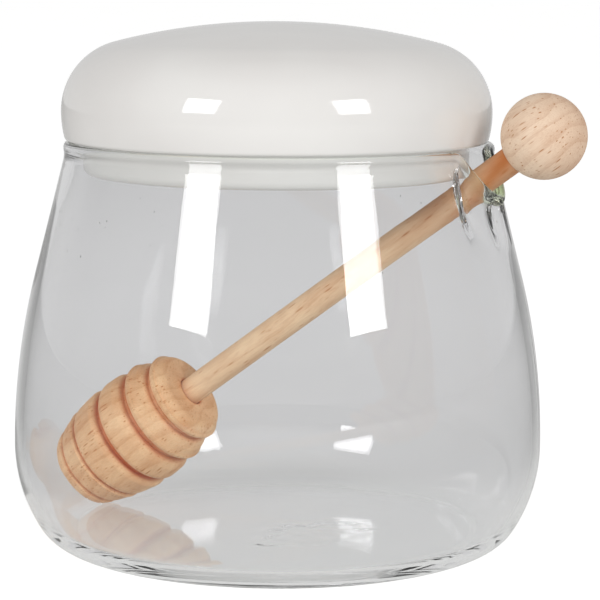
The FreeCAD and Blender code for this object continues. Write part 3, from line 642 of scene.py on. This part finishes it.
def groove_stain_and_shade(radius, height, local):
    """Burnt stain and painted shade in the grooves, darker where they sink deeper, and a little
    round the socket.
    """
    away = np.clip(height, 0, HEAD_LENGTH) - HEAD_MIDDLE
    surface = HEAD_RADIUS - BARREL_RADIUS + np.sqrt(BARREL_RADIUS ** 2 - away ** 2)
    inside = (height > 2.5 * MM) & (height < HEAD_LENGTH - 1.0 * MM)
    # the deeper a point sits below the barrel the darker it is: partly burnt stain, partly painted
    # shade
    sunk = np.clip((surface - radius - 0.6 * MM) / (0.9 * MM), 0, 1) * inside
    turn = np.arctan2(local[:, 1], local[:, 0])
    strength = np.interp(height / HEAD_LENGTH, *GROOVE_STAIN_AND_SHADE)
    strength = strength * (0.80 + 0.20 * np.sin(3 * turn + 90 * height / HEAD_LENGTH))
    seam = np.clip(1.4 - (radius - SOCKET_RADIUS) / (0.35 * MM), 0, 1)
    seam = seam * (height > HEAD_LENGTH - 0.4 * MM)
    return np.maximum(sunk * strength, seam * 0.6)


paint_stain_and_shade(head, head_tip, groove_stain_and_shade)
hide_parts("dipper_head")
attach(head, "root")
print("head done")

# %% [markdown]
# The handle is a plain dowel with a light chamfer at each glued end. Fingers sticky with honey
# have stained it, most of all close to the knob.

# %% Dipper handle
def handle_outline():
    """The dowel's outline, with rows close enough for the stain to follow."""
    edge = DOWEL_RADIUS - DOWEL_CHAMFER
    side = np.linspace(DOWEL_CHAMFER, dowel_length - DOWEL_CHAMFER, 180)
    points = [(0, 0), (edge * 0.5, 0), (edge, 0)]
    points += [(DOWEL_RADIUS, height) for height in side]
    points += [(edge, dowel_length), (edge * 0.5, dowel_length), (0, dowel_length)]
    return tidy_outline(points)


handle = turn_outline("dowel_handle", handle_outline(), handle_wood, 64, along_dipper(dowel_start))


def handle_stain(radius, height, local):
    """Deepest near the knob, and a little where the handle leaves the head."""
    knob_end = dowel_length - SOCKET_DEPTH
    near_knob = np.clip((height - knob_end + 40 * MM) / (40 * MM), 0, 1) ** 0.9
    ripple = 0.5 + 0.5 * np.sin(local[:, 0] * 900 + local[:, 1] * 500 + height * 260)
    near_head = np.clip(1 - (height - SOCKET_DEPTH) / (2.2 * MM), 0, 1)
    return near_knob * (0.55 + 0.45 * ripple) + near_head * 0.35


paint_stain_and_shade(handle, dowel_start, handle_stain)
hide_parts("dipper_handle")
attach(handle, "root")
print("handle done")

# %% [markdown]
# The knob is a turned ball with a blind bore for the dowel. Its outline starts at the far pole,
# runs round to the mouth of the bore and ends at the bottom of it.

# %% Dipper knob
def knob_outline():
    """The ball's outline, with its bore towards the head."""
    mouth = math.degrees(math.asin(SOCKET_RADIUS / KNOB_RADIUS))
    points = arc((0, 0), KNOB_RADIUS, 90, -90 + mouth, 110)
    bottom = -KNOB_RADIUS + SOCKET_DEPTH + GLUE_GAP
    points += [(SOCKET_RADIUS, height) for height in np.linspace(points[-1][1], bottom, 8)[1:]]
    points += [(SOCKET_RADIUS * 0.5, bottom), (0, bottom)]
    return tidy_outline(points)


knob = turn_outline("ball_knob", knob_outline(), knob_wood, 128, along_dipper(knob_middle))


def knob_stain(radius, height, local):
    """A soft tan cast on the far upper side, and a dark ring at the mouth of the bore."""
    cast = np.clip(local[:, 1] / KNOB_RADIUS * 0.5 + height / KNOB_RADIUS * 0.5, 0, 1) * 0.5
    mouth = np.clip(1 - (radius - SOCKET_RADIUS) / (1.2 * MM), 0, 1) * (height < -0.5 * KNOB_RADIUS)
    return np.maximum(cast, mouth * 0.6)


paint_stain_and_shade(knob, knob_middle, knob_stain)
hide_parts("dipper_knob")
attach(knob, "root")
print("knob done")

# %% [markdown]
# The lid is slip-cast stoneware under a glossy white glaze. Such a glaze isn't quite flat: it
# has a slow ripple, a few pin-holes, and a colour that drifts a little where it is thicker. The
# group gives all three, on the object's own coordinates.

# %% Glaze group and material
def make_glaze_group():
    """Slow ripple, pin-holes and a drifting white."""
    tree, given, output = new_group(
        "glaze_surface", "ShaderNodeTree",
        {"Vector": "Vector", "Thick": "Color", "Thin": "Color"}, SURFACE)
    drift = noise(tree, given["Vector"], 26.0, detail=3.0)
    ripple = noise(tree, given["Vector"], 55.0, detail=1.0)
    cells = add_node(tree, "ShaderNodeTexVoronoi",
                     {"Vector": given["Vector"], "Scale": 130.0}).outputs
    rare = parts_of(tree, cells["Color"])["X"]
    hole = calculate(tree, "MULTIPLY", between(tree, cells["Distance"], 0.035, 0.015),
                     between(tree, rare, 0.965, 0.985))
    colour = blend_colours(tree, between(tree, drift, 0.3, 0.7), given["Thick"], given["Thin"])
    fill(tree, output, {
        "Color": blend_colours(tree, hole, colour, tone(150, 135, 120)),
        "Roughness": between(tree, drift, 0.2, 0.8, 0.05, 0.10),
        "Height": calculate(tree, "MULTIPLY_ADD", hole, -0.8, ripple)})
    return tree


def make_glaze(name, thick, thin):
    """The lid's glossy glaze."""
    material, tree, shader, place = new_material(name)
    surface = add_node(tree, "ShaderNodeGroup", {"Vector": place, "Thick": thick, "Thin": thin},
                       node_tree=make_glaze_group()).outputs
    fill(tree, shader, {"Base Color": surface["Color"], "Roughness": surface["Roughness"],
                        "IOR": 1.55})
    bump(tree, shader, surface["Height"], 0.25, 0.10 * MM)
    return material


white_glaze = make_glaze("white_glaze", tone(240, 238, 235), tone(235, 232, 229))
print("glaze ready")

# %% [markdown]
# The lid is a cushion: a nearly flat crown, a tight shoulder, and a side that curves in below
# its widest place. Each arc meets the next smoothly, so its centre follows from the arcs beside
# it. Underneath, a ring drops into the jar's mouth, and the lid is hollow.

# %% Lid
lid_low, lid_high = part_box("lid")
jar_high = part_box("glass_jar")[1]
LID_RADIUS = (lid_high[0] - lid_low[0]) / 2
lid_place = Matrix.Translation(((lid_high[0] + lid_low[0]) / 2, (lid_high[1] + lid_low[1]) / 2, 0))
LID_WALL = 4.5 * MM
LID_SEAT_GAP = 0.25 * MM
SHOULDER, SHOULDER_LEVEL, SIDE, EDGE = 16.6 * MM, 6.8 * MM, 26 * MM, 1.2 * MM
HOLLOW_RADIUS, HOLLOW_LEVEL = 10 * MM, 8 * MM
RING_OUT, RING_IN, RING_END, RING_FILLET = 45.2 * MM, 41.6 * MM, 1.8 * MM, 1 * MM


def lid_outline():
    """The lid's outline from the top of the crown round to the middle of the hollow."""
    top, under = lid_high[2], jar_high[2] + LID_SEAT_GAP
    shoulder_centre = (LID_RADIUS - SHOULDER, under + SHOULDER_LEVEL)
    drop = top - shoulder_centre[1]
    crown = (shoulder_centre[0] ** 2 + drop ** 2 - SHOULDER ** 2) / (2 * (drop - SHOULDER))
    crown_centre = (0, top - crown)
    lean = math.degrees(math.atan2(shoulder_centre[1] - crown_centre[1], shoulder_centre[0]))
    side_centre = (LID_RADIUS - SIDE, shoulder_centre[1])
    drop = side_centre[1] - (under + EDGE)
    edge_reach = math.sqrt((SIDE - EDGE) ** 2 - drop ** 2)
    edge_turn = -math.degrees(math.atan2(drop, edge_reach))
    edge_centre = (side_centre[0] + edge_reach, under + EDGE)
    points = arc(crown_centre, crown, 90, lean, 44)
    points += arc(shoulder_centre, SHOULDER, lean, 0, 30)[1:]
    points += arc(side_centre, SIDE, 0, edge_turn, 16)[1:]
    points += arc(edge_centre, EDGE, edge_turn, -90, 8)[1:]
    points += arc((RING_OUT + RING_FILLET, under - RING_FILLET), RING_FILLET, 90, 180, 6)
    points += arc((RING_OUT - RING_END, lid_low[2] + RING_END), RING_END, 0, -180, 14)
    hollow_centre = (LID_RADIUS - LID_WALL - HOLLOW_RADIUS, under + HOLLOW_LEVEL)
    hollow_top = top - LID_WALL
    rise = hollow_top - hollow_centre[1] - HOLLOW_RADIUS
    points += [(RING_IN, under)] + arc(hollow_centre, HOLLOW_RADIUS, -30, 90, 24)
    points += [(radius, hollow_top - rise * (radius / hollow_centre[0]) ** 2)
               for radius in np.linspace(hollow_centre[0], 0, 20)[1:]]
    return tidy_outline(points)


lid = turn_outline("domed_lid", lid_outline(), white_glaze, 220, lid_place)
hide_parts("lid")
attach(lid, "root")
print("lid done")

# %% [markdown]
# Clear glass needs true thickness, because light bends at each of its surfaces. We first work
# out the outline of the blown body. It stands on a narrow ring foot. Its heel is two arcs: a
# tight one at the foot and a wide one up to the belly, whose radius follows from the join. Above
# the belly a slow arc leads into a straight wall that leans in towards the rim.

# %% Jar outline
JAR_RADIUS = jar_high[0]
RIM_TOP = jar_high[2]
WALL = 2.2 * MM
BELLY = 24 * MM
SHOULDER_ARC = 160 * MM
FOOT, FOOT_WIDTH = JAR_RADIUS - 14 * MM, 2.4 * MM
PUSH_UP, FLOOR_LEVEL = 1.4 * MM, 3 * MM
FLOOR_RADIUS = FOOT - 0.4 * MM
OUTER_HEEL, INNER_HEEL = 10 * MM, 9.3 * MM
BEAD, BEAD_SHIFT = 1.35 * MM, 0.5 * MM
RIM_RADIUS = JAR_RADIUS - 11.9 * MM
TOP_ZONE = 24 * MM
SCAR_ZONE = 24 * MM


def heel_points(foot_x, foot_level, tight, belly_x, steps):
    """Points of a heel from the foot up to the belly: a tight arc, then a wide one."""
    run, over = belly_x - foot_x, BELLY - foot_level - tight
    wide = (run ** 2 + over ** 2 - tight ** 2) / (2 * (run - tight))
    meet = math.degrees(math.atan2(-over, foot_x - belly_x + wide))
    points = arc((foot_x, foot_level + tight), tight, -90, meet, steps)
    return points + arc((belly_x - wide, BELLY), wide, meet, 0, steps + 6)[1:]


bead_centre = (RIM_RADIUS - BEAD, RIM_TOP - BEAD)
arc_centre = (JAR_RADIUS - SHOULDER_ARC, BELLY)
middle_arc = SHOULDER_ARC - WALL / 2
rim_start = (bead_centre[0] - BEAD_SHIFT, bead_centre[1])
to_rim = math.dist(arc_centre, rim_start)
WALL_LEAN = (math.atan2(rim_start[1] - arc_centre[1], rim_start[0] - arc_centre[0])
             - math.acos(middle_arc / to_rim))
wall_down = np.array((math.sin(WALL_LEAN), -math.cos(WALL_LEAN)))
wall_out = np.array((math.cos(WALL_LEAN), math.sin(WALL_LEAN)))
zone_foot = np.array(rim_start) + wall_down * TOP_ZONE


def shoulder_points(offset, steps):
    """Points from the belly up to the foot of the top zone, at an offset from mid wall."""
    radius = middle_arc + offset
    points = arc(arc_centre, radius, 0, math.degrees(WALL_LEAN), steps)
    last, end = np.array(points[-1]), zone_foot + wall_out * offset
    return points + [tuple(last + (end - last) * part) for part in (0.33, 0.67, 1.0)]


def outer_outline():
    """The outside, from the middle of the base up to the top zone."""
    inner_foot = FOOT - FOOT_WIDTH
    rise = PUSH_UP / inner_foot ** 2
    points = [(r, PUSH_UP - rise * r ** 2) for r in np.linspace(0, SCAR_ZONE, 56)]
    points += [(r, PUSH_UP - rise * r ** 2) for r in np.linspace(SCAR_ZONE, inner_foot, 14)[1:]]
    points += heel_points(FOOT, 0, OUTER_HEEL, JAR_RADIUS, 14)
    return tidy_outline(points + shoulder_points(WALL / 2, 30)[1:])


def inner_outline():
    """The inside, from the top zone down to the middle of the floor."""
    points = heel_points(FLOOR_RADIUS, FLOOR_LEVEL, INNER_HEEL, JAR_RADIUS - WALL, 12)
    points = shoulder_points(-WALL / 2, 30)[::-1] + points[::-1][1:]
    rise = PUSH_UP / FLOOR_RADIUS ** 2
    points += [(r, FLOOR_LEVEL + PUSH_UP - rise * r ** 2)
               for r in np.linspace(FLOOR_RADIUS, 0, 40)[1:]]
    return tidy_outline(points)


outer_rows, inner_rows = outer_outline(), inner_outline()
print(len(outer_rows), "rows outside,", len(inner_rows), "inside, wall leans",
      f"{math.degrees(WALL_LEAN):.1f} degrees")

# %% [markdown]
# The notch was pulled down in the hot rim with a tool, so the glass wasn't cut: the rim's bead
# runs down one side, under the handle and up again, and the wall folds outward into a lip.
# We build that the same way. In the top zone each upright line of the wall is a smooth curve
# in space. It leaves the rim's edge in the direction of the lip, and it joins the plain wall
# below. Away from the notch the same curve is a straight line, so nothing needs stitching.

# %% Middle surface of the top zone
NOTCH_DEPTH = 9.9 * MM
NOTCH_HALF = 10 * MM
NOTCH_EASE, NOTCH_FULL = 0.13, 1.0042
ZONE_HALF, ZONE_FADE = 15 * MM, 3.5 * MM
LIP_OUT = 3.3 * MM
LIP_TURN = math.radians(104)
zone_turn = ZONE_HALF / rim_start[0]
ZONE_COLUMNS, OTHER_COLUMNS, ZONE_ROWS = 96, 150, 42


def smooth_step(share):
    """A share held between 0 and 1, that starts and ends softly."""
    share = np.clip(share, 0, 1)
    return share * share * (3 - 2 * share)


def notch_share(across):
    """How deep the rim's edge hangs at a sideways place: 1 in the middle, 0 past the corners."""
    plain = 1 - (np.abs(across) / NOTCH_HALF) ** 1.8
    eased = (plain + np.sqrt(plain ** 2 + NOTCH_EASE ** 2)) / 2
    fade = smooth_step((ZONE_HALF - np.abs(across)) / ZONE_FADE)
    return np.clip(eased * fade, 0, None) / NOTCH_FULL


def edge_path(count):
    """The rim's edge across the notch, in even steps: sideways place, drop and direction."""
    across = np.linspace(-ZONE_HALF, ZONE_HALF, 4001)
    drop = notch_share(across) * NOTCH_DEPTH
    length = np.concatenate(([0], np.cumsum(np.hypot(np.diff(across), np.diff(drop)))))
    even = np.linspace(0, length[-1], count)
    place, low = np.interp(even, length, across), np.interp(even, length, drop)
    slope = np.gradient(low, even), np.gradient(place, even)
    return place, low, slope


def round_axis(radius, height, turn):
    """Points at a turn about the jar's axis."""
    return np.stack((radius * np.cos(turn), radius * np.sin(turn), height + 0 * turn), axis=-1)


def wall_point(turn, drop):
    """A point of the leaning wall, from a turn about the jar's axis and a drop along the wall."""
    return round_axis(rim_start[0] + wall_down[0] * drop, rim_start[1] + wall_down[1] * drop, turn)


def curve_rows(start, first, second, end, shares):
    """Points along cubic curves, one for each column, at even shares of their length."""
    fine = np.linspace(0, 1, 200)[:, None, None]
    line = ((1 - fine) ** 3 * start + 3 * (1 - fine) ** 2 * fine * first
            + 3 * (1 - fine) * fine ** 2 * second + fine ** 3 * end)
    steps = np.linalg.norm(np.diff(line, axis=0), axis=2)
    length = np.concatenate((np.zeros((1, steps.shape[1])), np.cumsum(steps, axis=0)))
    rows = np.empty((len(shares), start.shape[0], 3))
    for column in range(start.shape[0]):
        wanted = shares * length[-1, column]
        for part in range(3):
            rows[:, column, part] = np.interp(wanted, length[:, column], line[:, column, part])
    return rows, length[-1]


def middle_surface():
    """The middle of the glass in the top zone, as rows of points, with each column's length."""
    place, drop, (down, along) = edge_path(ZONE_COLUMNS + 1)
    edge_turn = notch_turn + place / (rim_start[0] + wall_down[0] * drop)
    foot_turn = notch_turn + np.linspace(-zone_turn, zone_turn, ZONE_COLUMNS + 1)
    share = drop / NOTCH_DEPTH
    flare = share ** 1.4
    outward = round_axis(*wall_out, edge_turn)
    downward = round_axis(*wall_down, edge_turn)
    sideways = round_axis(1, 0, edge_turn + math.pi / 2)
    start = wall_point(edge_turn, drop) + round_axis(LIP_OUT * flare, 0, edge_turn)
    into_glass = downward * along[:, None] - sideways * down[:, None]
    fold = (LIP_TURN * flare)[:, None]
    heading = into_glass * np.cos(fold) - outward * np.sin(fold)
    end = wall_point(foot_turn, TOP_ZONE)
    foot_down = round_axis(*wall_down, foot_turn)
    reach = np.linalg.norm(end - start, axis=1)[:, None]
    shares = (np.arange(ZONE_ROWS + 1) / ZONE_ROWS) ** 1.35
    zone, lengths = curve_rows(start, start + heading * reach * (0.34 + 0.08 * share[:, None]),
                               end - foot_down * reach * 0.36, end, shares)
    rest = np.linspace(zone_turn, 2 * math.pi - zone_turn, OTHER_COLUMNS + 1)[1:-1]
    rest_turn = notch_turn + rest
    plain = np.stack([wall_point(rest_turn, part * TOP_ZONE) for part in shares])
    surface = np.concatenate((zone, plain), axis=1)
    depth = np.concatenate((lengths, np.full(len(rest), TOP_ZONE)))[None, :] * shares[:, None]
    return surface, depth, np.concatenate((foot_turn, rest_turn))


surface, depth, column_turns = middle_surface()
print("top zone:", surface.shape[0], "rows of", surface.shape[1], "points")

# %% [markdown]
# Next the middle surface gets its thickness. The direction across the glass comes from the
# differences between neighbouring points. The glass thickens towards the edge and ends in a
# round bead, fire-polished smooth. The same rows go all round the jar.

# %% Thickness and bead
BEAD_STEPS = 14
SWELL_REACH = 1.5 * MM


def across_glass(rows):
    """The unit direction across the glass at each point, pointing out of the jar."""
    along = np.roll(rows, -1, axis=1) - np.roll(rows, 1, axis=1)
    down = np.gradient(rows, axis=0)
    direction = np.cross(down, along)
    return direction / np.linalg.norm(direction, axis=2, keepdims=True)


def thick_rows():
    """Rows of the top zone: outside going up, over the bead, and inside going down."""
    normal = across_glass(surface)
    swell = np.exp(-(depth / SWELL_REACH) ** 2)
    outer = surface + normal * (WALL / 2 + (BEAD + BEAD_SHIFT - WALL / 2) * swell)[..., None]
    inner = surface - normal * (WALL / 2 - (WALL / 2 + BEAD_SHIFT - BEAD) * swell)[..., None]
    out_of_edge = surface[0] - surface[1]
    out_of_edge /= np.linalg.norm(out_of_edge, axis=1, keepdims=True)
    centre = surface[0] + normal[0] * BEAD_SHIFT
    turns = np.linspace(0, math.pi, BEAD_STEPS + 1)[1:-1]
    bead = [centre + BEAD * (normal[0] * math.cos(turn) + out_of_edge * math.sin(turn))
            for turn in turns]
    return [*outer[::-1], *bead, *inner]


def turned_rows(outline):
    """Rows of a turned outline, one point for each column of the jar."""
    return [round_axis(radius, height, column_turns) for radius, height in outline]


top_rows = thick_rows()
rows = turned_rows(outer_rows[1:-1]) + top_rows + turned_rows(inner_rows[1:-1])
print(len(rows), "rings of", len(column_turns), "points")

# %% [markdown]
# Blown glass is never quite even. We push its surfaces in by a few hundredths of a millimetre
# with slow waves, which makes the reflections swim a little. Underneath, the glass was broken
# off its iron, and that left an uneven scar a little off the middle of the base.

# %% Waves and scar
WAVES = ((3, 38.0, 0.4), (5, -61.0, 2.1), (2, 95.0, 4.0), (7, 24.0, 1.2), (11, 130.0, 5.1))
SCAR_PLACE = np.array((10.0, -14.0)) * MM
SCAR_RADIUS = 13 * MM
SCAR_FADE, SCAR_LIP = 4.5 * MM, 1.8 * MM
SCAR_DEPTH, SCAR_ROUGH, SCAR_RISE = 0.17 * MM, 0.035 * MM, 0.04 * MM
WAVE_DEPTH = 0.09 * MM


def waves(points, shift):
    """A slow, even pattern between -1 and 1 over the jar."""
    turn = np.arctan2(points[:, 1], points[:, 0])
    total = sum(np.sin(count * turn + rate * points[:, 2] + start + shift)
                for count, rate, start in WAVES)
    return total / len(WAVES)


def uneven(points, inside):
    """Points of one surface pushed into the glass by the waves, but not at the foot or the rim."""
    radius = np.hypot(points[:, 0], points[:, 1])
    fade = np.clip((points[:, 2] - 6 * MM) / (10 * MM), 0, 1)
    fade *= np.clip((RIM_TOP - 6 * MM - points[:, 2]) / (8 * MM), 0, 1)
    push = WAVE_DEPTH * (1 + waves(points, 1.7 if inside else 0.0)) / 2 * fade
    factor = 1 + (push if inside else -push) / np.maximum(radius, 1 * MM)
    moved = points.copy()
    moved[:, :2] *= factor[:, None]
    return moved


def scarred(points):
    """The underside with its scar: a shallow crater with a lobed, slightly raised edge."""
    offset = points[:, :2] - SCAR_PLACE
    turn, reach = np.arctan2(offset[:, 1], offset[:, 0]), np.hypot(offset[:, 0], offset[:, 1])
    edge = SCAR_RADIUS * (1 + 0.13 * np.sin(2 * turn + 0.6) + 0.08 * np.sin(5 * turn + 2)
                          + 0.05 * np.sin(9 * turn))
    inside = smooth_step((edge - reach) / SCAR_FADE)
    lip = np.exp(-((reach - edge) / SCAR_LIP) ** 2)
    rough = (np.sin(offset[:, 0] * 420 + 2 * np.sin(offset[:, 1] * 300))
             + np.sin(offset[:, 1] * 560 + 2 * np.sin(offset[:, 0] * 350))) / 2
    moved = points.copy()
    moved[:, 2] += inside * (SCAR_DEPTH + SCAR_ROUGH * rough) - lip * SCAR_RISE
    return moved


under_count = sum(1 for radius, _ in outer_rows[1:-1] if radius < SCAR_ZONE)
outer_count = len(outer_rows) - 2 + ZONE_ROWS + 1 + BEAD_STEPS // 2
shaped = [scarred(ring) if number < under_count else uneven(ring, inside=number > outer_count)
          for number, ring in enumerate(rows)]
print("waves and scar added to", len(shaped), "rings")

# %% [markdown]
# Seeds are tiny bubbles left in the glass. Each is a small hollow in the middle of the wall, so
# its faces point into the bubble, out of the glass. Geometry Nodes put one small ball on each
# of a few chosen points, at a random size from a fixed seed.

# %% Seeds in the glass
SMALLEST_SEED, LARGEST_SEED, SEED_STRETCH = 0.06 * MM, 0.17 * MM, 1.8
SEED_BAND = 14 * MM, 24 * MM


def make_seed_tree():
    """A tree that puts small hollow balls on points, longer than they are wide."""
    tree, given, output = new_group(
        "glass_seeds", "GeometryNodeTree",
        {"Geometry": "Geometry", "Smallest": "Float", "Largest": "Float", "Seed": "Int",
         "Finish": "Material"}, {"Geometry": "Geometry"})
    ball = add_node(tree, "GeometryNodeMeshIcoSphere", {"Radius": 1.0, "Subdivisions": 2})
    hollow = add_node(tree, "GeometryNodeFlipFaces", {"Mesh": ball.outputs["Mesh"]})
    size = add_node(tree, "FunctionNodeRandomValue", {
        2: given["Smallest"], 3: given["Largest"], "Seed": given["Seed"]},
        data_type="FLOAT").outputs[1]
    scale = add_node(tree, "ShaderNodeCombineXYZ", {
        "X": size, "Y": size, "Z": calculate(tree, "MULTIPLY", size, SEED_STRETCH)})
    spread = add_node(tree, "GeometryNodeInstanceOnPoints", {
        "Points": given["Geometry"], "Instance": hollow.outputs[0], "Scale": scale.outputs[0]})
    return end_tree(tree, spread.outputs[0], given, output)


def make_seeds(material):
    """A mesh of seeds in the straight part of the wall."""
    draw = np.random.default_rng(11)
    turns = np.concatenate((draw.uniform(0, 2 * math.pi, 26), draw.uniform(-2.9, -2.3, 5)))
    places = wall_point(turns, draw.uniform(*SEED_BAND, len(turns)))
    values = {"Smallest": SMALLEST_SEED, "Largest": LARGEST_SEED, "Seed": 4, "Finish": material}
    return run_tree(point_object("seed_places", places.tolist()), make_seed_tree(), values,
                    "glass_seeds")


print("seed tree ready")

# %% [markdown]
# The glass material is a plain glass shader, nearly without colour. Soda glass is green where
# light runs a long way through it, as it does along the bead and the lip, so an attribute named
# edge tints those. A lamp's rays must reach the dipper inside the jar: for shadow rays and
# diffuse rays the surface is replaced with a Transparent shader.

# %% Glass material
EDGE_TINT = (0.66, 0.78, 0.40, 1)
GLASS_DULL, GLASS_CLEAR = (0.965, 0.965, 0.975, 1), (0.98, 0.98, 0.985, 1)
PASSING = (0.95, 0.96, 0.955, 1)


def make_glass():
    """Clear soda glass that lets the lamps through."""
    material, tree, shader, place = new_material("clear_glass")
    edge = add_node(tree, "ShaderNodeAttribute", attribute_name="edge").outputs["Fac"]
    film = noise(tree, place, 60.0, detail=4.0)
    body = blend_colours(tree, film, GLASS_DULL, GLASS_CLEAR)
    fill(tree, shader, {
        "Transmission Weight": 1.0, "IOR": 1.5,
        "Base Color": blend_colours(tree, edge, body, EDGE_TINT),
        "Roughness": between(tree, film, 0.2, 0.9, 0.0, 0.012)})
    ripple = noise(tree, stretch(tree, place, (1, 1, 0.35)), 85.0)
    bump(tree, shader, ripple, 0.10, 0.05 * MM)
    clear = add_node(tree, "ShaderNodeBsdfTransparent", {"Color": PASSING})
    path = add_node(tree, "ShaderNodeLightPath").outputs
    either = calculate(tree, "MAXIMUM", path["Is Shadow Ray"], path["Is Diffuse Ray"])
    mix = add_node(tree, "ShaderNodeMixShader",
                   {0: either, 1: shader.outputs[0], 2: clear.outputs[0]})
    feed(tree, mix.outputs[0], tree.nodes["Material Output"].inputs["Surface"])
    return material


clear_glass = make_glass()
print("glass ready")

# %% [markdown]
# The rings are joined by four-sided faces, and a fan closes the middle of the base and the
# floor. The edge attribute is 1 on the bead and fades down the glass.

# %% Jar
RIM_TINT = 0.45
TINT_REACH = 2.2 * MM


def join_rings(rings, first_pole, last_pole):
    """Points and faces of a closed skin through rings of points, with a pole at each end."""
    count = len(rings[0])
    points = np.concatenate(([first_pole], np.concatenate(rings), [last_pole]))
    here = np.arange(count)
    after = (here + 1) % count
    faces = [(0, 1 + b, 1 + a) for a, b in zip(here, after)]
    for ring in range(len(rings) - 1):
        low, high = 1 + ring * count, 1 + (ring + 1) * count
        faces += [(low + a, low + b, high + b, high + a) for a, b in zip(here, after)]
    last, top = len(points) - 1, 1 + (len(rings) - 1) * count
    faces += [(last, top + a, top + b) for a, b in zip(here, after)]
    return points, faces


def edge_tints():
    """How strongly each point is tinted: row by row, with the two poles."""
    tints = np.zeros((len(shaped), len(column_turns)))
    outside = len(outer_rows) - 2
    bead, inside = outside + ZONE_ROWS + 1, outside + ZONE_ROWS + BEAD_STEPS
    fade = np.exp(-(depth / TINT_REACH) ** 2)
    tints[outside:bead] = fade[::-1]
    tints[bead:inside] = 1
    tints[inside:inside + ZONE_ROWS + 1] = fade
    sideways = ((column_turns - notch_turn + math.pi) % (2 * math.pi) - math.pi) * rim_start[0]
    in_notch = np.clip((NOTCH_HALF + 1 * MM - np.abs(sideways)) / (3 * MM), 0, 1)
    in_notch *= np.interp(sideways / MM, [-9, -4, 0], [0.15, 0.3, 1.0])
    rim = np.zeros(len(shaped))
    rim[bead:inside] = np.sin(np.linspace(0, math.pi, BEAD_STEPS + 1)[1:-1]) ** 3 * RIM_TINT
    tints = tints * in_notch + rim[:, None] * (1 - in_notch)
    return np.concatenate(([0], tints.ravel(), [0])).astype(np.float32)


def make_jar():
    """The blown jar with its seeds, as one mesh."""
    base, floor_middle = np.array(((0, 0, PUSH_UP),)), (0, 0, FLOOR_LEVEL + PUSH_UP)
    points, faces = join_rings(shaped, scarred(base)[0], floor_middle)
    mesh = bpy.data.meshes.new("blown_jar")
    mesh.from_pydata(points.tolist(), [], faces)
    mesh.attributes.new("edge", "FLOAT", "POINT").data.foreach_set("value", edge_tints())
    mesh.materials.append(clear_glass)
    face_outwards(mesh)
    seeds = add_object("seeds", make_seeds(clear_glass))
    jar = add_object("blown_jar", mesh)
    with bpy.context.temp_override(active_object=jar, selected_editable_objects=[jar, seeds]):
        bpy.ops.object.join()
    jar.data.shade_smooth()
    describe(jar)
    return jar


jar = make_jar()
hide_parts("glass_jar")
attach(jar, "root")
print("jar done")
